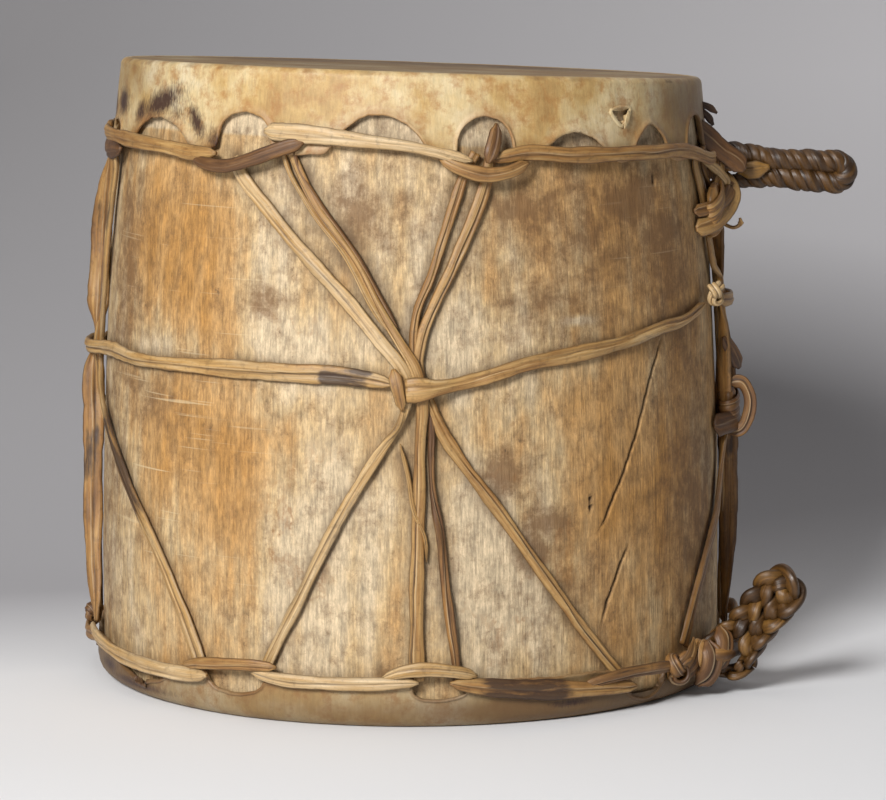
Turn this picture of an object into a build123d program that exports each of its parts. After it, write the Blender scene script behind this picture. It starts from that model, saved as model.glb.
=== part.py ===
"""Two-headed laced log drum: a hollow wooden shell, two rawhide heads, rawhide lacing and two loop handles.

Millimetres and degrees. +Z is up, and the origin is the middle of the face the drum stands on. Angles
run round the drum from the front (-Y) towards +X.
"""
import math
import os

from build123d import *

# The log
drum_height = 221.6  # over both skins, on the axis
top_slope = 2.41  # the upper end is cut on a slant
top_slope_angle = 125.0  # its low side
shell_foot_radius = 114.3
shell_top_radius = 104.0
shell_bulge = 3.4  # how far the wall swells outside a straight taper
shell_wall = 11.0
rim_round = 4.0

# The rawhide heads
skin_thickness = 1.8
skin_gap = 0.2  # between a skin and the wood
upper_skirt_depth = 25.0  # top plane to the tips of the tabs
lower_skirt_height = 14.0  # floor to the tips of the tabs
lacing_arch_width = 23.0
lacing_arch_rise = 10.5
plain_arch_width = 40.0  # each plain arch is a share of this
plain_arch_rise = 7.0
foot_arch_rise = 6.0
hide_flaw_angle = 43.0  # a torn three-cornered hole in the upper skirt
hide_flaw_depth = 14.5
hide_flaw_width = 8.0
hide_flaw_height = 6.0

# The thongs, rolled and dried until they are nearly round
rest_gap = 0.3  # between a thong and what it lies on
lace_diameter = 3.4
lane_gap = 0.8  # between laces side by side in a bundle
lace_steps = 5  # even steps in which a lace runs from a rim to its bundle
bundle_half_height = 9.0
lane_stagger = 3.0  # the outer laces of a bundle bend this much nearer its middle
rim_strap_diameter = 4.8
upper_strap_depth = 25.0  # below the top, at its lowest lacing hole
lower_strap_height = 12.5  # above the floor, beside the lower handle
sling_drop = 5.5  # how far a rim strap sags round the laces of one hole
sling_half_angle = 9.0
sling_shape = [(-1.0, 0.0), (-0.5, 0.6), (0.0, 1.0), (0.5, 0.8), (1.0, 0.0)]  # shares of half angle and drop
waist_strap_diameter = 4.2
waist_end_gap = 3.2  # degrees from the end of a waist strap to the bundle it is led to
waist_swell = 2.0  # how far a waist strap bows above the straight line between its crossings
waist_descent = 10.7  # degrees in which a waist strap comes down from a bundle to the wood

# Lashings, ties and knots
lash_cord_radius = 1.3
lash_slack = 0.7
turn_gap = 0.7  # between neighbouring turns
lash_hold = 6.5  # lashed laces stand off the wood this far each side of the lashing
lash_ramp = 16.5  # and lie on it again this far each side
whip_cord_radius = 1.1
upper_lashing_turns = 3
tension_tie_turns = 2
tension_tie_drop = 38.0  # below the right-hand crossing
whipping_turns = 1.5
waist_knot_cord_radius = 2.8
waist_knot_rise = 3.0  # above the right-hand crossing
foot_knot_cord_radius = 2.0
foot_knot_angle = 274.0
knot_eye_share = 1.08  # radius at which a knot's two turns run, as a share of its cord's radius
knot_turn_share = 0.82  # half the distance between the two turns, as such a share

# The loop handles, and the hanger thongs that they turn on
hanger_fit = 0.1  # between the hanger and the loop round it
hanger_bend_room = 0.4
swing_gap = 0.7  # between the loop and the drum behind it
upper_handle_angle = 90.0
upper_handle_depth = 32.5  # below the top
upper_handle_rise = -4.0  # of the loop's long axis above level
upper_handle_reach = 47.0  # hanger to the far end of the loop
upper_rope_diameter = 6.6
upper_eye_width = 5.6
lower_handle_angle = 64.0
lower_handle_height = 15.0
lower_handle_rise = 52.0
lower_handle_reach = 42.0
lower_rope_diameter = 7.4
lower_eye_width = 7.6

# Where four laces are gathered: angle of each crossing, and its height as a share of the drum's
crossing_places = {
    "front": (1.0, 0.539),
    "right": (83.0, 0.6225),
    "back": (177.0, 0.569),
    "left": (272.0, 0.5415),
}

# For each crossing, four laces side by side: angle at the upper rim and angle at the lower rim. The first
# two come from the upper hole on the left, and the last two from the upper hole on the right.
lace_ends = {
    "front": [(-35.4, -24.5), (-22.6, 1.6), (11.0, 8.3), (16.3, 37.8)],
    "right": [(70.0, 53.5), (76.0, 86.6), (105.0, 93.3), (110.3, 123.5)],
    "back": [(143.6, 138.5), (156.4, 176.6), (193.0, 183.4), (198.3, 217.5)],
    "left": [(235.6, 232.5), (248.4, 270.6), (281.0, 277.4), (286.3, 321.0)],
}

upper_lacing_holes = [-31.0, 14.0, 71.0, 108.0, 148.0, 196.0, 240.0, 284.0]
lower_lacing_holes = [-31.5, 5.0, 45.5, 90.0, 131.0, 180.0, 225.0, 274.0]
# Angle of each plain arch, and its share of the width
upper_plain_arches = [(-54.5, 0.95), (-5.0, 0.875), (32.0, 0.725), (51.5, 0.6), (128.0, 0.75), (172.0, 0.85),
                      (218.0, 0.8), (262.0, 0.8)]
lower_plain_arches = [(-56.0, 0.9), (110.5, 0.7), (155.5, 0.8), (202.5, 0.75), (249.5, 0.8)]

# Worked out from the sizes above
shell_foot = skin_thickness + skin_gap
shell_top = drum_height - skin_thickness - skin_gap
skin_face = skin_gap + skin_thickness  # outer face of a skirt, measured from the wood
over_lace = lace_diameter + 2 * rest_gap  # underside of a thong that crosses the laces
over_skin = skin_face + 2 * rest_gap  # underside of a thong that lies on a skirt
halfway_down = (over_lace + rest_gap) / 2  # a thong coming down from a bundle to the wood
lace_radius = lace_diameter / 2
lane_pitch = lace_diameter + lane_gap
crossings = {side: (angle, drum_height * share) for side, (angle, share) in crossing_places.items()}

chord_rise = shell_top - shell_foot
chord_run = shell_top_radius - shell_foot_radius
half_chord = math.hypot(chord_rise, chord_run) / 2
wall_arc_radius = (half_chord**2 + shell_bulge**2) / (2 * shell_bulge)
arc_setback = (wall_arc_radius - shell_bulge) / (2 * half_chord)
wall_centre_r = (shell_foot_radius + shell_top_radius) / 2 - arc_setback * chord_rise
wall_centre_z = (shell_foot + shell_top) / 2 + arc_setback * chord_run


def wall_radius(height, lift=0.0):
    """Radius of the log's side at a height, with a lift measured square to the wood."""
    return wall_centre_r + math.sqrt((wall_arc_radius + lift) ** 2 - (height - wall_centre_z) ** 2)


def radial(angle):
    """Level direction pointing straight out of the drum."""
    return Vector(math.sin(math.radians(angle)), -math.cos(math.radians(angle)), 0)


def around(angle):
    """Level direction along the drum's side, towards growing angles."""
    return Vector(math.cos(math.radians(angle)), math.sin(math.radians(angle)), 0)


def on_wall(angle, height, lift=0.0):
    """Point over the log's side."""
    return radial(angle) * wall_radius(height, lift) + Vector(0, 0, height)


def off_wall(angle, height):
    """Direction square to the log's side."""
    spread = radial(angle) * (wall_radius(height) - wall_centre_r)
    return (spread + Vector(0, 0, height - wall_centre_z)).normalized()


def degrees_along(length, height):
    """Angle that a length along the drum's side takes up at a height."""
    return math.degrees(length / wall_radius(height))


def slant_plane(height):
    """Plane of the slanted upper end, through the axis at a height."""
    slope = math.radians(top_slope)
    lean = radial(top_slope_angle) * math.sin(slope)
    return Plane(origin=(0, 0, height), z_dir=lean + Vector(0, 0, math.cos(slope)))


def below_top(angle, depth):
    """Height of a place on the side, given its depth below the slanted top."""
    towards_low = math.cos(math.radians(angle - top_slope_angle))
    return drum_height - depth - shell_top_radius * towards_low * math.tan(math.radians(top_slope))


def keep(piece, name):
    """Name a finished piece and write it."""
    piece.part.label = name
    export_step(piece.part, f"parts/{name}.step")


def log_body(lift, low, high):
    """Solid log whose side stands a lift outside the wood."""
    middle = (low + high) / 2
    with BuildPart() as body:
        with BuildSketch(Plane.XZ):
            with BuildLine():
                side = ThreePointArc(*[(wall_radius(z, lift), z) for z in (low, middle, high)])
                Polyline(side @ 1, (0, high), (0, low), side @ 0)
            make_face()
        revolve(axis=Axis.Z)
    return body.part


def arch_plane(angle, height):
    """Upright plane through the axis that faces out of the drum."""
    return Plane(origin=(0, 0, height), x_dir=around(angle), z_dir=radial(angle))


def cut_arch(angle, height, width, rise):
    """Cut one arch into the edge of a skirt. A negative rise cuts downwards."""
    past_edge = -math.copysign(rim_strap_diameter, rise)
    with BuildSketch(arch_plane(angle, height)) as arch:
        with BuildLine():
            crown = ThreePointArc((-width / 2, 0), (0, rise), (width / 2, 0))
            Polyline(crown @ 1, (width / 2, past_edge), (-width / 2, past_edge), crown @ 0)
        make_face()
    extrude(arch.sketch, amount=2 * shell_foot_radius, mode=Mode.SUBTRACT)


def biarc(start, start_dir, end, end_dir):
    """Two tangent arcs from one point and direction to another."""
    chord = end - start
    turn = start_dir + end_dir
    bend = 2 * (1 - start_dir.dot(end_dir))
    drift = chord.dot(turn)
    reach = chord.dot(chord) / (math.sqrt(drift**2 + bend * chord.dot(chord)) + drift)
    middle = (start + start_dir * reach + end - end_dir * reach) * 0.5
    first = TangentArc(start, middle, tangent=start_dir)
    TangentArc(middle, end, tangent=first % 1)


def thong(name, route, radius):
    """Rolled thong along places on the wall, each given by angle, height and lift of its underside."""
    places = [on_wall(angle, height, lift + radius) for angle, height, lift in route]
    steps = [after - before for before, after in zip(places, places[1:])]
    inner = []
    for i in range(1, len(steps)):
        before, after = steps[i - 1], steps[i]
        heading = before.normalized() * after.length + after.normalized() * before.length
        angle, height, lift = route[i]
        if lift <= min(route[i - 1][2], route[i + 1][2]):
            out = off_wall(angle, height)  # where it lies lowest, it runs along the wood
            heading -= out * heading.dot(out)
        inner.append(heading.normalized())
    first = steps[0].normalized()
    last = steps[-1].normalized()
    start_dir = first * (2 * first.dot(inner[0])) - inner[0]
    end_dir = last * (2 * last.dot(inner[-1])) - inner[-1]
    headings = [start_dir, *inner, end_dir]
    with BuildPart() as cord:
        with BuildLine() as path:
            for i in range(len(steps)):
                biarc(places[i], headings[i], places[i + 1], headings[i + 1])
        with BuildSketch(Plane(origin=path.line @ 0, z_dir=path.line % 0)):
            Circle(radius)
        sweep()
    keep(cord, name)


def winding(name, centre, axis_dir, wide_dir, half_wide, half_thick, turns, cord_radius):
    """Wind a cord round an oval core as one tube, and print the least gap between its turns."""
    thick_dir = axis_dir.cross(wide_dir)
    quarter_rise = (2 * cord_radius + turn_gap) / 4
    steps = round(turns * 4)
    places = []
    headings = []
    for i in range(steps + 1):
        turn = i * math.pi / 2
        level = centre + axis_dir * (quarter_rise * (i - steps / 2))
        reach = wide_dir * (half_wide * math.cos(turn)) + thick_dir * (half_thick * math.sin(turn))
        places.append(level + reach)
        swing = wide_dir * (-half_wide * math.sin(turn)) + thick_dir * (half_thick * math.cos(turn))
        headings.append((swing * (math.pi / 2) + axis_dir * quarter_rise).normalized())
    tail = 2 * cord_radius
    with BuildPart() as cord:
        with BuildLine() as path:
            Line(places[0] - headings[0] * tail, places[0])
            for i in range(steps):
                biarc(places[i], headings[i], places[i + 1], headings[i + 1])
            Line(places[steps], places[steps] + headings[steps] * tail)
        with BuildSketch(Plane(origin=path.line @ 0, z_dir=path.line % 0)):
            Circle(cord_radius)
        sweep()
    samples_per_turn = 48
    count = round(samples_per_turn * turns)
    points = [path.line @ (i / count) for i in range(count + 1)]
    spans = [
        (points[i] - points[j]).length
        for i in range(count + 1)
        for j in range(i + samples_per_turn // 2, count + 1)
    ]
    print(f"{name}: least gap between turns {min(spans) - 2 * cord_radius:.2f} mm")
    keep(cord, name)


def knot(name, angle, height, lift, cord_radius):
    """Stopper knot of two fat turns, lying against the drum's side at a lift."""
    turn_radius = cord_radius * knot_eye_share
    turn_half_gap = cord_radius * knot_turn_share
    out = radial(angle)
    centre = on_wall(angle, height, lift + turn_radius + cord_radius)
    with BuildPart() as lump:
        with BuildSketch(Plane(origin=centre, x_dir=out, z_dir=around(angle) * -1)):
            with Locations((turn_radius, turn_half_gap), (turn_radius, -turn_half_gap)):
                Circle(cord_radius)
            Rectangle(turn_radius, 2 * turn_half_gap, align=(Align.MIN, Align.CENTER))
        revolve(axis=Axis(centre, (0, 0, 1)))
    keep(lump, name)


def handle(side, angle, height, rise, reach, rope_diameter, eye_width, foot_lift):
    """Loop of plaited rope on a hanger thong, with a whipping round each leg of the hanger."""
    rope_radius = rope_diameter / 2
    loop_radius = eye_width / 2 + rope_diameter
    bend_radius = eye_width / 2 + rope_radius
    bar_lift = foot_lift + swing_gap + loop_radius
    out = radial(angle)
    along = around(angle)
    bar_centre = on_wall(angle, height) + out * bar_lift
    loop_dir = out * math.cos(math.radians(rise)) + Vector(0, 0, math.sin(math.radians(rise)))
    straight = reach - loop_radius
    hanger_radius = eye_width / 2 - hanger_fit
    whip_radius = hanger_radius + rest_gap + whip_cord_radius
    leg_offset = rope_radius + swing_gap + whip_radius + whip_cord_radius

    with BuildPart() as loop:
        with BuildLine(Plane(origin=bar_centre, x_dir=loop_dir, z_dir=along)) as path:
            near_bend = ThreePointArc((0, bend_radius), (-bend_radius, 0), (0, -bend_radius))
            Line(near_bend @ 1, (straight, -bend_radius))
            ThreePointArc((straight, -bend_radius), (straight + bend_radius, 0), (straight, bend_radius))
            Line((straight, bend_radius), near_bend @ 0)
        with BuildSketch(Plane(origin=path.line @ 0, z_dir=path.line % 0)):
            Circle(rope_radius)
        sweep()
    keep(loop, f"{side}_handle")

    leg_length = bar_lift - foot_lift - rest_gap
    with BuildPart() as hanger:
        with BuildLine(Plane(origin=bar_centre, x_dir=along, z_dir=(0, 0, -1))) as path:
            FilletPolyline((-leg_offset, -leg_length), (-leg_offset, 0), (leg_offset, 0),
                           (leg_offset, -leg_length), radius=hanger_radius + hanger_bend_room)
        with BuildSketch(Plane(origin=path.line @ 0, z_dir=path.line % 0)):
            Circle(hanger_radius)
        sweep()
    keep(hanger, f"{side}_handle_hanger")

    whip_height = whipping_turns * (2 * whip_cord_radius + turn_gap)
    whip_drop = leg_length - whip_cord_radius - whip_height / 2
    for place, sign in (("front", -1), ("rear", 1)):
        centre = bar_centre + along * (sign * leg_offset) - out * whip_drop
        winding(f"{side}_handle_{place}_whipping", centre, out, along * sign, whip_radius, whip_radius,
                whipping_turns, whip_cord_radius)


os.makedirs("parts", exist_ok=True)

# The shell: a log hollowed right through, both ends closed by skins
past_top = shell_top + 2 * shell_top_radius * math.tan(math.radians(top_slope))
with BuildPart() as shell:
    add(log_body(0, shell_foot, past_top))
    add(log_body(-shell_wall, shell_foot - shell_wall, past_top + shell_wall), mode=Mode.SUBTRACT)
    split(bisect_by=slant_plane(shell_top), keep=Keep.BOTTOM)
    mid_wall = shell_top_radius - shell_wall / 2
    fillet(shell.edges().filter_by(lambda edge: edge.length > 2 * math.pi * mid_wall), rim_round)
keep(shell, "shell")

# The upper head: a skin over the slanted end, its skirt scalloped between the tabs
with BuildPart() as upper_seat:
    add(log_body(skin_gap, shell_foot, past_top))
    split(bisect_by=slant_plane(drum_height - skin_thickness), keep=Keep.BOTTOM)
    fillet(upper_seat.edges().group_by(Axis.Z)[-1], rim_round)
with BuildPart() as upper_head:
    add(log_body(skin_face, shell_foot, past_top))
    split(bisect_by=slant_plane(drum_height), keep=Keep.BOTTOM)
    fillet(upper_head.edges().group_by(Axis.Z)[-1], rim_round + skin_thickness)
    split(bisect_by=slant_plane(drum_height - upper_skirt_depth), keep=Keep.TOP)
    add(upper_seat.part, mode=Mode.SUBTRACT)
    for angle in upper_lacing_holes:
        cut_arch(angle, below_top(angle, upper_skirt_depth), lacing_arch_width, lacing_arch_rise)
    for angle, share in upper_plain_arches:
        cut_arch(angle, below_top(angle, upper_skirt_depth), plain_arch_width * share, plain_arch_rise)
    with BuildSketch(arch_plane(hide_flaw_angle, below_top(hide_flaw_angle, hide_flaw_depth))):
        Triangle(a=hide_flaw_width, b=hide_flaw_height, C=90)
    extrude(amount=2 * shell_foot_radius, mode=Mode.SUBTRACT)
keep(upper_head, "upper_head")

# The lower head: a skin over the foot, which the drum stands on
with BuildPart() as lower_seat:
    add(log_body(skin_gap, skin_thickness, shell_top))
    fillet(lower_seat.edges().group_by(Axis.Z)[0], rim_round)
with BuildPart() as lower_head:
    add(log_body(skin_face, 0, lower_skirt_height))
    fillet(lower_head.edges().group_by(Axis.Z)[0], rim_round + skin_thickness)
    add(lower_seat.part, mode=Mode.SUBTRACT)
    for angle in lower_lacing_holes:
        cut_arch(angle, lower_skirt_height, lacing_arch_width, -foot_arch_rise)
    for angle, share in lower_plain_arches:
        cut_arch(angle, lower_skirt_height, plain_arch_width * share, -foot_arch_rise)
keep(lower_head, "lower_head")


def sling(angle, level):
    """Five places of a rim strap where it sags round the laces of one hole: angle, level and lift."""
    return [
        (angle + sling_half_angle * aside, level + sling_drop * sag, over_lace)
        for aside, sag in sling_shape
    ]


def upper_sling(angle, share):
    """Sling of the upper rim strap, at a share of the strap's depth below the top."""
    return sling(angle, upper_strap_depth * share)


def lower_sling(angle, share):
    """Sling of the lower rim strap, at a share of the strap's height."""
    return sling(angle, lower_strap_height * share)


def lower_bridge(angle, share):
    """Stretch of the lower rim strap that crosses the laces of one hole without sagging."""
    level = lower_strap_height * share
    return [(angle + sling_half_angle * aside, level, over_lace) for aside in (-1, 0, 1)]


def upper_run(*places):
    """Places where the upper rim strap lies on a tab: angle and share of the strap's depth."""
    return [(angle, upper_strap_depth * share, over_skin) for angle, share in places]


def lower_run(*places):
    """Places where the lower rim strap lies on a tab: angle and share of the strap's height."""
    return [(angle, lower_strap_height * share, over_skin) for angle, share in places]


# The upper rim strap: once round from the handle and back to it, measured down from the top
upper_rim_route = (
    upper_sling(108, 0.984) + upper_run((128, 0.934))
    + upper_sling(148, 0.934) + upper_run((164, 0.905), (180, 0.904))
    + upper_sling(196, 0.93) + upper_run((218, 0.931))
    + upper_sling(240, 0.982) + upper_run((262, 1.02))
    + upper_sling(284, 1.078) + upper_run((299, 1.129), (311, 1.169))
    + upper_sling(329, 1.155) + upper_run((345, 0.984), (354, 0.965))
    + upper_sling(374, 1.059) + upper_run((390, 1.086), (401, 1.065), (412, 1.03))
    + upper_sling(431, 1.027)
)
# The lower rim strap: once round from the handle and back to it, measured up from the floor
lower_rim_route = (
    lower_run((73.5, 1.0)) + lower_sling(90, 1.04) + lower_run((110.5, 1.12))
    + lower_sling(131, 1.12) + lower_run((147, 1.16), (163, 1.16))
    + lower_sling(180, 1.16) + lower_run((202.5, 1.16))
    + lower_sling(225, 1.16) + lower_run((249.5, 1.2))
    + lower_bridge(foot_knot_angle, 1.12) + lower_run((292, 1.2), (306, 1.08))
    + lower_sling(328.5, 1.12) + lower_run((346.5, 1.264))
    + lower_sling(365, 1.28) + lower_run((380, 1.08), (389, 0.92))
    + lower_sling(405.5, 0.8)
)


def level_at(route, angle):
    """Depth or height of a rim strap at an angle."""
    turned = (angle - route[0][0]) % 360 + route[0][0]
    for (near, near_level, _), (far, far_level, _) in zip(route, route[1:]):
        if near <= turned <= far:
            return near_level + (far_level - near_level) * (turned - near) / (far - near)
    return route[-1][1]


upper_rim = [(angle, below_top(angle, depth), lift) for angle, depth, lift in upper_rim_route]
thong("upper_rim_strap", upper_rim, rim_strap_diameter / 2)
thong("lower_rim_strap", lower_rim_route, rim_strap_diameter / 2)


def lace_places(top, lane, bottom, crossing_height, half_height):
    """Places of one lace: from the upper strap to its lane in the bundle, and on to the lower strap."""
    clear_of_skin = lace_radius + rest_gap
    strap_depth = level_at(upper_rim_route, top)
    top_height = below_top(top, max(strap_depth, upper_skirt_depth + clear_of_skin))
    bottom_height = max(level_at(lower_rim_route, bottom), lower_skirt_height + clear_of_skin)
    gather = crossing_height + half_height
    release = crossing_height - half_height
    shares = [i / lace_steps for i in range(lace_steps + 1)]
    places = [(top + (lane - top) * i, top_height + (gather - top_height) * i, rest_gap) for i in shares]
    places.append((lane, crossing_height, rest_gap))
    for i in shares:
        places.append((lane + (bottom - lane) * i, release + (bottom_height - release) * i, rest_gap))
    return places


def place_at(places, height):
    """Angle of a lace at a height."""
    for (near, high, _), (far, low, _) in zip(places, places[1:]):
        if low <= height <= high:
            return near + (far - near) * (high - height) / (high - low)
    return places[-1][0]


def lifted(places, height):
    """The same lace, standing off the wood at a height to let a lashing pass behind it."""
    room = rest_gap + 2 * lash_cord_radius + lash_slack + rest_gap
    bridge = [(lash_ramp, rest_gap), (lash_hold, room), (-lash_hold, room), (-lash_ramp, rest_gap)]
    above = [place for place in places if place[1] > height + lash_ramp]
    below = [place for place in places if place[1] < height - lash_ramp]
    lashed = [(place_at(places, height + offset), height + offset, lift) for offset, lift in bridge]
    return above + lashed + below


lace_routes = {}
for side, (crossing_angle, crossing_height) in crossings.items():
    step = degrees_along(lane_pitch, crossing_height)
    for i, (top, bottom) in enumerate(lace_ends[side]):
        lanes_aside = i - 1.5
        lane = crossing_angle + step * lanes_aside
        half_height = bundle_half_height - lane_stagger * (abs(lanes_aside) - 0.5)
        lace_routes[side, i + 1] = lace_places(top, lane, bottom, crossing_height, half_height)

# The upper lashing lifts two laces halfway from the right-hand bundle to the rim, and the tie two below it
right_angle, right_height = crossings["right"]
upper_lashing_height = (lace_routes["right", 1][0][1] + right_height + bundle_half_height) / 2
tension_tie_height = right_height - tension_tie_drop
for number, height in ((1, upper_lashing_height), (2, upper_lashing_height), (2, tension_tie_height),
                       (3, tension_tie_height)):
    lace_routes["right", number] = lifted(lace_routes["right", number], height)

for (side, number), places in lace_routes.items():
    thong(f"{side}_lace_{number}", places, lace_radius)

# The waist strap: four lengths, each laid over one bundle and led on to the next. Once down on the wood, it
# rises over the straight line from crossing to crossing by these shares of its swell, at even steps
waist_swells = {
    ("front", "right"): [-0.25, 0.45, 0.5, 0.6, 1.0, 1.0, 0.8],
    ("right", "back"): [0.1, 0.0, -0.2, -0.45, -0.6, -0.6, -0.4],
    ("back", "left"): [-0.2, -0.35, -0.55, -0.7, -0.7, -0.55, -0.25],
    ("left", "front"): [0.95, 0.7, 0.85, 1.15, 1.15, 0.9, 0.75],
}


def waist_route(start, end, swells, knot_width):
    """Places of one length of the waist strap, which stops short of the next bundle and its knot."""
    first, first_height = crossings[start]
    second, second_height = crossings[end]
    turn = (second - first) % 360
    edge = degrees_along(2 * lane_pitch, first_height)
    down = edge + waist_descent
    stop = turn - edge - waist_end_gap - knot_width
    over = [(first + aside, first_height, over_lace) for aside in (-edge, 0, edge)]
    over.append((first + edge + waist_descent / 2, first_height + waist_swell * swells[0] / 2, halfway_down))
    low = []
    for i, swell in enumerate(swells):
        aside = down + (stop - down) * i / (len(swells) - 1)
        straight = first_height + (second_height - first_height) * aside / turn
        low.append((first + aside, straight + waist_swell * swell, rest_gap))
    return over + low


waist_knot_width = degrees_along(waist_knot_cord_radius * (1 + knot_eye_share), right_height)
for (start, end), swells in waist_swells.items():
    knot_width = 2 * waist_knot_width if end == "right" else 0
    route = waist_route(start, end, swells, knot_width)
    thong(f"{start}_{end}_waist_strap", route, waist_strap_diameter / 2)


def lash_laces(name, first, second, height, turns):
    """Wind a cord round two laces of one bundle."""
    angles = [place_at(lace_routes[key], height) for key in (first, second)]
    middle = sum(angles) / 2
    spread = math.radians(abs(angles[1] - angles[0])) * wall_radius(height)
    room = lash_cord_radius + rest_gap + lash_slack
    half_thick = lace_radius + room
    half_wide = spread / 2 + half_thick
    span = lash_cord_radius * turns
    above = sum(place_at(lace_routes[key], height + span) for key in (first, second)) / 2
    below = sum(place_at(lace_routes[key], height - span) for key in (first, second)) / 2
    axis_dir = (on_wall(above, height + span) - on_wall(below, height - span)).normalized()
    wide_dir = off_wall(middle, height).cross(axis_dir).normalized()
    centre = on_wall(middle, height, rest_gap + lash_cord_radius + half_thick)
    winding(name, centre, axis_dir, wide_dir, half_wide, half_thick, turns, lash_cord_radius)


lash_laces("upper_lashing", ("right", 1), ("right", 2), upper_lashing_height, upper_lashing_turns)
lash_laces("tension_tie", ("right", 2), ("right", 3), tension_tie_height, tension_tie_turns)

right_edge = right_angle - degrees_along(2 * lane_pitch, right_height)
waist_knot_angle = right_edge - waist_end_gap - waist_knot_width
knot("waist_knot", waist_knot_angle, right_height + waist_knot_rise, rest_gap, waist_knot_cord_radius)
# The foot knot stands on the rim strap, between the feet of two laces
foot_knot_seat = level_at(lower_rim_route, foot_knot_angle) + rim_strap_diameter / 2 + rest_gap
foot_knot_height = foot_knot_seat + foot_knot_cord_radius * (1 + knot_turn_share)
knot("foot_knot", foot_knot_angle, foot_knot_height, rest_gap, foot_knot_cord_radius)

handle("upper", upper_handle_angle, below_top(upper_handle_angle, upper_handle_depth), upper_handle_rise,
       upper_handle_reach, upper_rope_diameter, upper_eye_width, 0)
handle("lower", lower_handle_angle, lower_handle_height, lower_handle_rise, lower_handle_reach,
       lower_rope_diameter, lower_eye_width, skin_face)
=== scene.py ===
import math
import random

import bpy
import numpy as np
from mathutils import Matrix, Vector, kdtree, noise


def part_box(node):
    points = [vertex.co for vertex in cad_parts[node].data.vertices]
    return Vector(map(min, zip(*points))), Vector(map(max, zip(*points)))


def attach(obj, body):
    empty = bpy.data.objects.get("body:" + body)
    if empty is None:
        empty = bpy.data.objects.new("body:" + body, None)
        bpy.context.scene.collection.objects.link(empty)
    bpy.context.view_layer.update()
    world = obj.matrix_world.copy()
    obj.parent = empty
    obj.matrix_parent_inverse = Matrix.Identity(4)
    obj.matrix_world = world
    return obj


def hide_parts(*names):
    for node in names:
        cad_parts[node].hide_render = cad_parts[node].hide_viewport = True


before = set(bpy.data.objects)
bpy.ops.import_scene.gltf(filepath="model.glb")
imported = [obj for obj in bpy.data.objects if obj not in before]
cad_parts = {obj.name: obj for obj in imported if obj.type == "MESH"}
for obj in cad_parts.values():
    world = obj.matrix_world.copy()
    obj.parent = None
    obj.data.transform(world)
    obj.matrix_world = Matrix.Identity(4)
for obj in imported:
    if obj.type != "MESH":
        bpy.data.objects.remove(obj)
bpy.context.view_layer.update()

print("frame loaded:", len(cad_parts), "nodes")

# the log in millimetres and degrees, as the frame has it; angles run from the front towards the handles
log = {"height": 221.6, "slope": 2.41, "lowSide": 125.0, "footRadius": 114.3, "topRadius": 104.0,
       "bulge": 3.4, "wall": 11.0, "skin": 1.8, "gap": 0.2, "rimRound": 4.0}
skirtRadius, middleRadius = 108.0, 111.0  # for lengths along the skirts and along the middle of the wall
upright = np.array([0.0, 0.0, 1.0])
logFoot = log["skin"] + log["gap"]
logTop = log["height"] - logFoot
halfChord = math.hypot(logTop - logFoot, log["topRadius"] - log["footRadius"]) / 2
arcRadius = (halfChord ** 2 + log["bulge"] ** 2) / (2 * log["bulge"])
arcSetback = (arcRadius - log["bulge"]) / (2 * halfChord)
arcAxis = (log["footRadius"] + log["topRadius"]) / 2 - arcSetback * (logTop - logFoot)
arcHeight = (logFoot + logTop) / 2 + arcSetback * (log["topRadius"] - log["footRadius"])


def wallRadius(height, lift=0.0):
    return arcAxis + np.sqrt((arcRadius + lift) ** 2 - (height - arcHeight) ** 2)


def radial(angle):
    turn = np.radians(angle)
    return np.stack([np.sin(turn), -np.cos(turn), 0 * turn], -1)


def around(angle):
    turn = np.radians(angle)
    return np.stack([np.cos(turn), np.sin(turn), 0 * turn], -1)


def onWall(angle, height, lift=0.0):
    angle, height, lift = np.broadcast_arrays(np.asarray(angle, float), height, lift)
    return radial(angle) * wallRadius(height, lift)[..., None] + height[..., None] * upright


def topDrop(angle):  # the upper end is cut on a slant, low at the back on the handles' side
    turn = np.radians(angle - log["lowSide"])
    return log["topRadius"] * np.cos(turn) * math.tan(math.radians(log["slope"]))


def rough(points, size, seed=0.0, detail=3):  # soft lumps of a size in millimetres, about -1 to 1
    shifted = (np.asarray(points) / size + seed * 7.3).tolist()
    return np.array([noise.fractal(p, 1.0, 2.0, detail) for p in shifted])


def distances(points):  # how far along its line each point lies
    return np.concatenate([[0], np.cumsum(np.linalg.norm(np.diff(points, axis=0), axis=1))])


def unit(vectors):
    return vectors / np.maximum(np.linalg.norm(vectors, axis=-1, keepdims=True), 1e-9)


def smoothstep(low, high, value):
    t = np.clip((value - low) / (high - low), 0, 1)
    return t * t * (3 - 2 * t)


def bendThrough(marks, values, at):  # smooth curve through values at increasing marks
    marks, values = np.asarray(marks, float), np.asarray(values, float)
    run = np.diff(marks)
    slope = np.diff(values, axis=0) / run[:, None]
    lean = np.empty_like(values)
    lean[0], lean[-1] = slope[0], slope[-1]
    lean[1:-1] = (slope[:-1] * run[1:, None] + slope[1:] * run[:-1, None]) / (run[:-1] + run[1:])[:, None]
    k = np.clip(np.searchsorted(marks, at, "right") - 1, 0, len(run) - 1)
    t = ((at - marks[k]) / run[k])[:, None]
    h = run[k][:, None]
    return (values[k] * (2 * t ** 3 - 3 * t ** 2 + 1) + lean[k] * h * (t ** 3 - 2 * t ** 2 + t)
            + values[k + 1] * (3 * t ** 2 - 2 * t ** 3) + lean[k + 1] * h * (t ** 3 - t ** 2))


def linear(hexColour):  # sRGB hex to the linear values that shaders take
    parts = [int(hexColour[i:i + 2], 16) / 255 for i in (1, 3, 5)]
    return tuple(c / 12.92 if c <= 0.04045 else ((c + 0.055) / 1.055) ** 2.4 for c in parts) + (1.0,)


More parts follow.
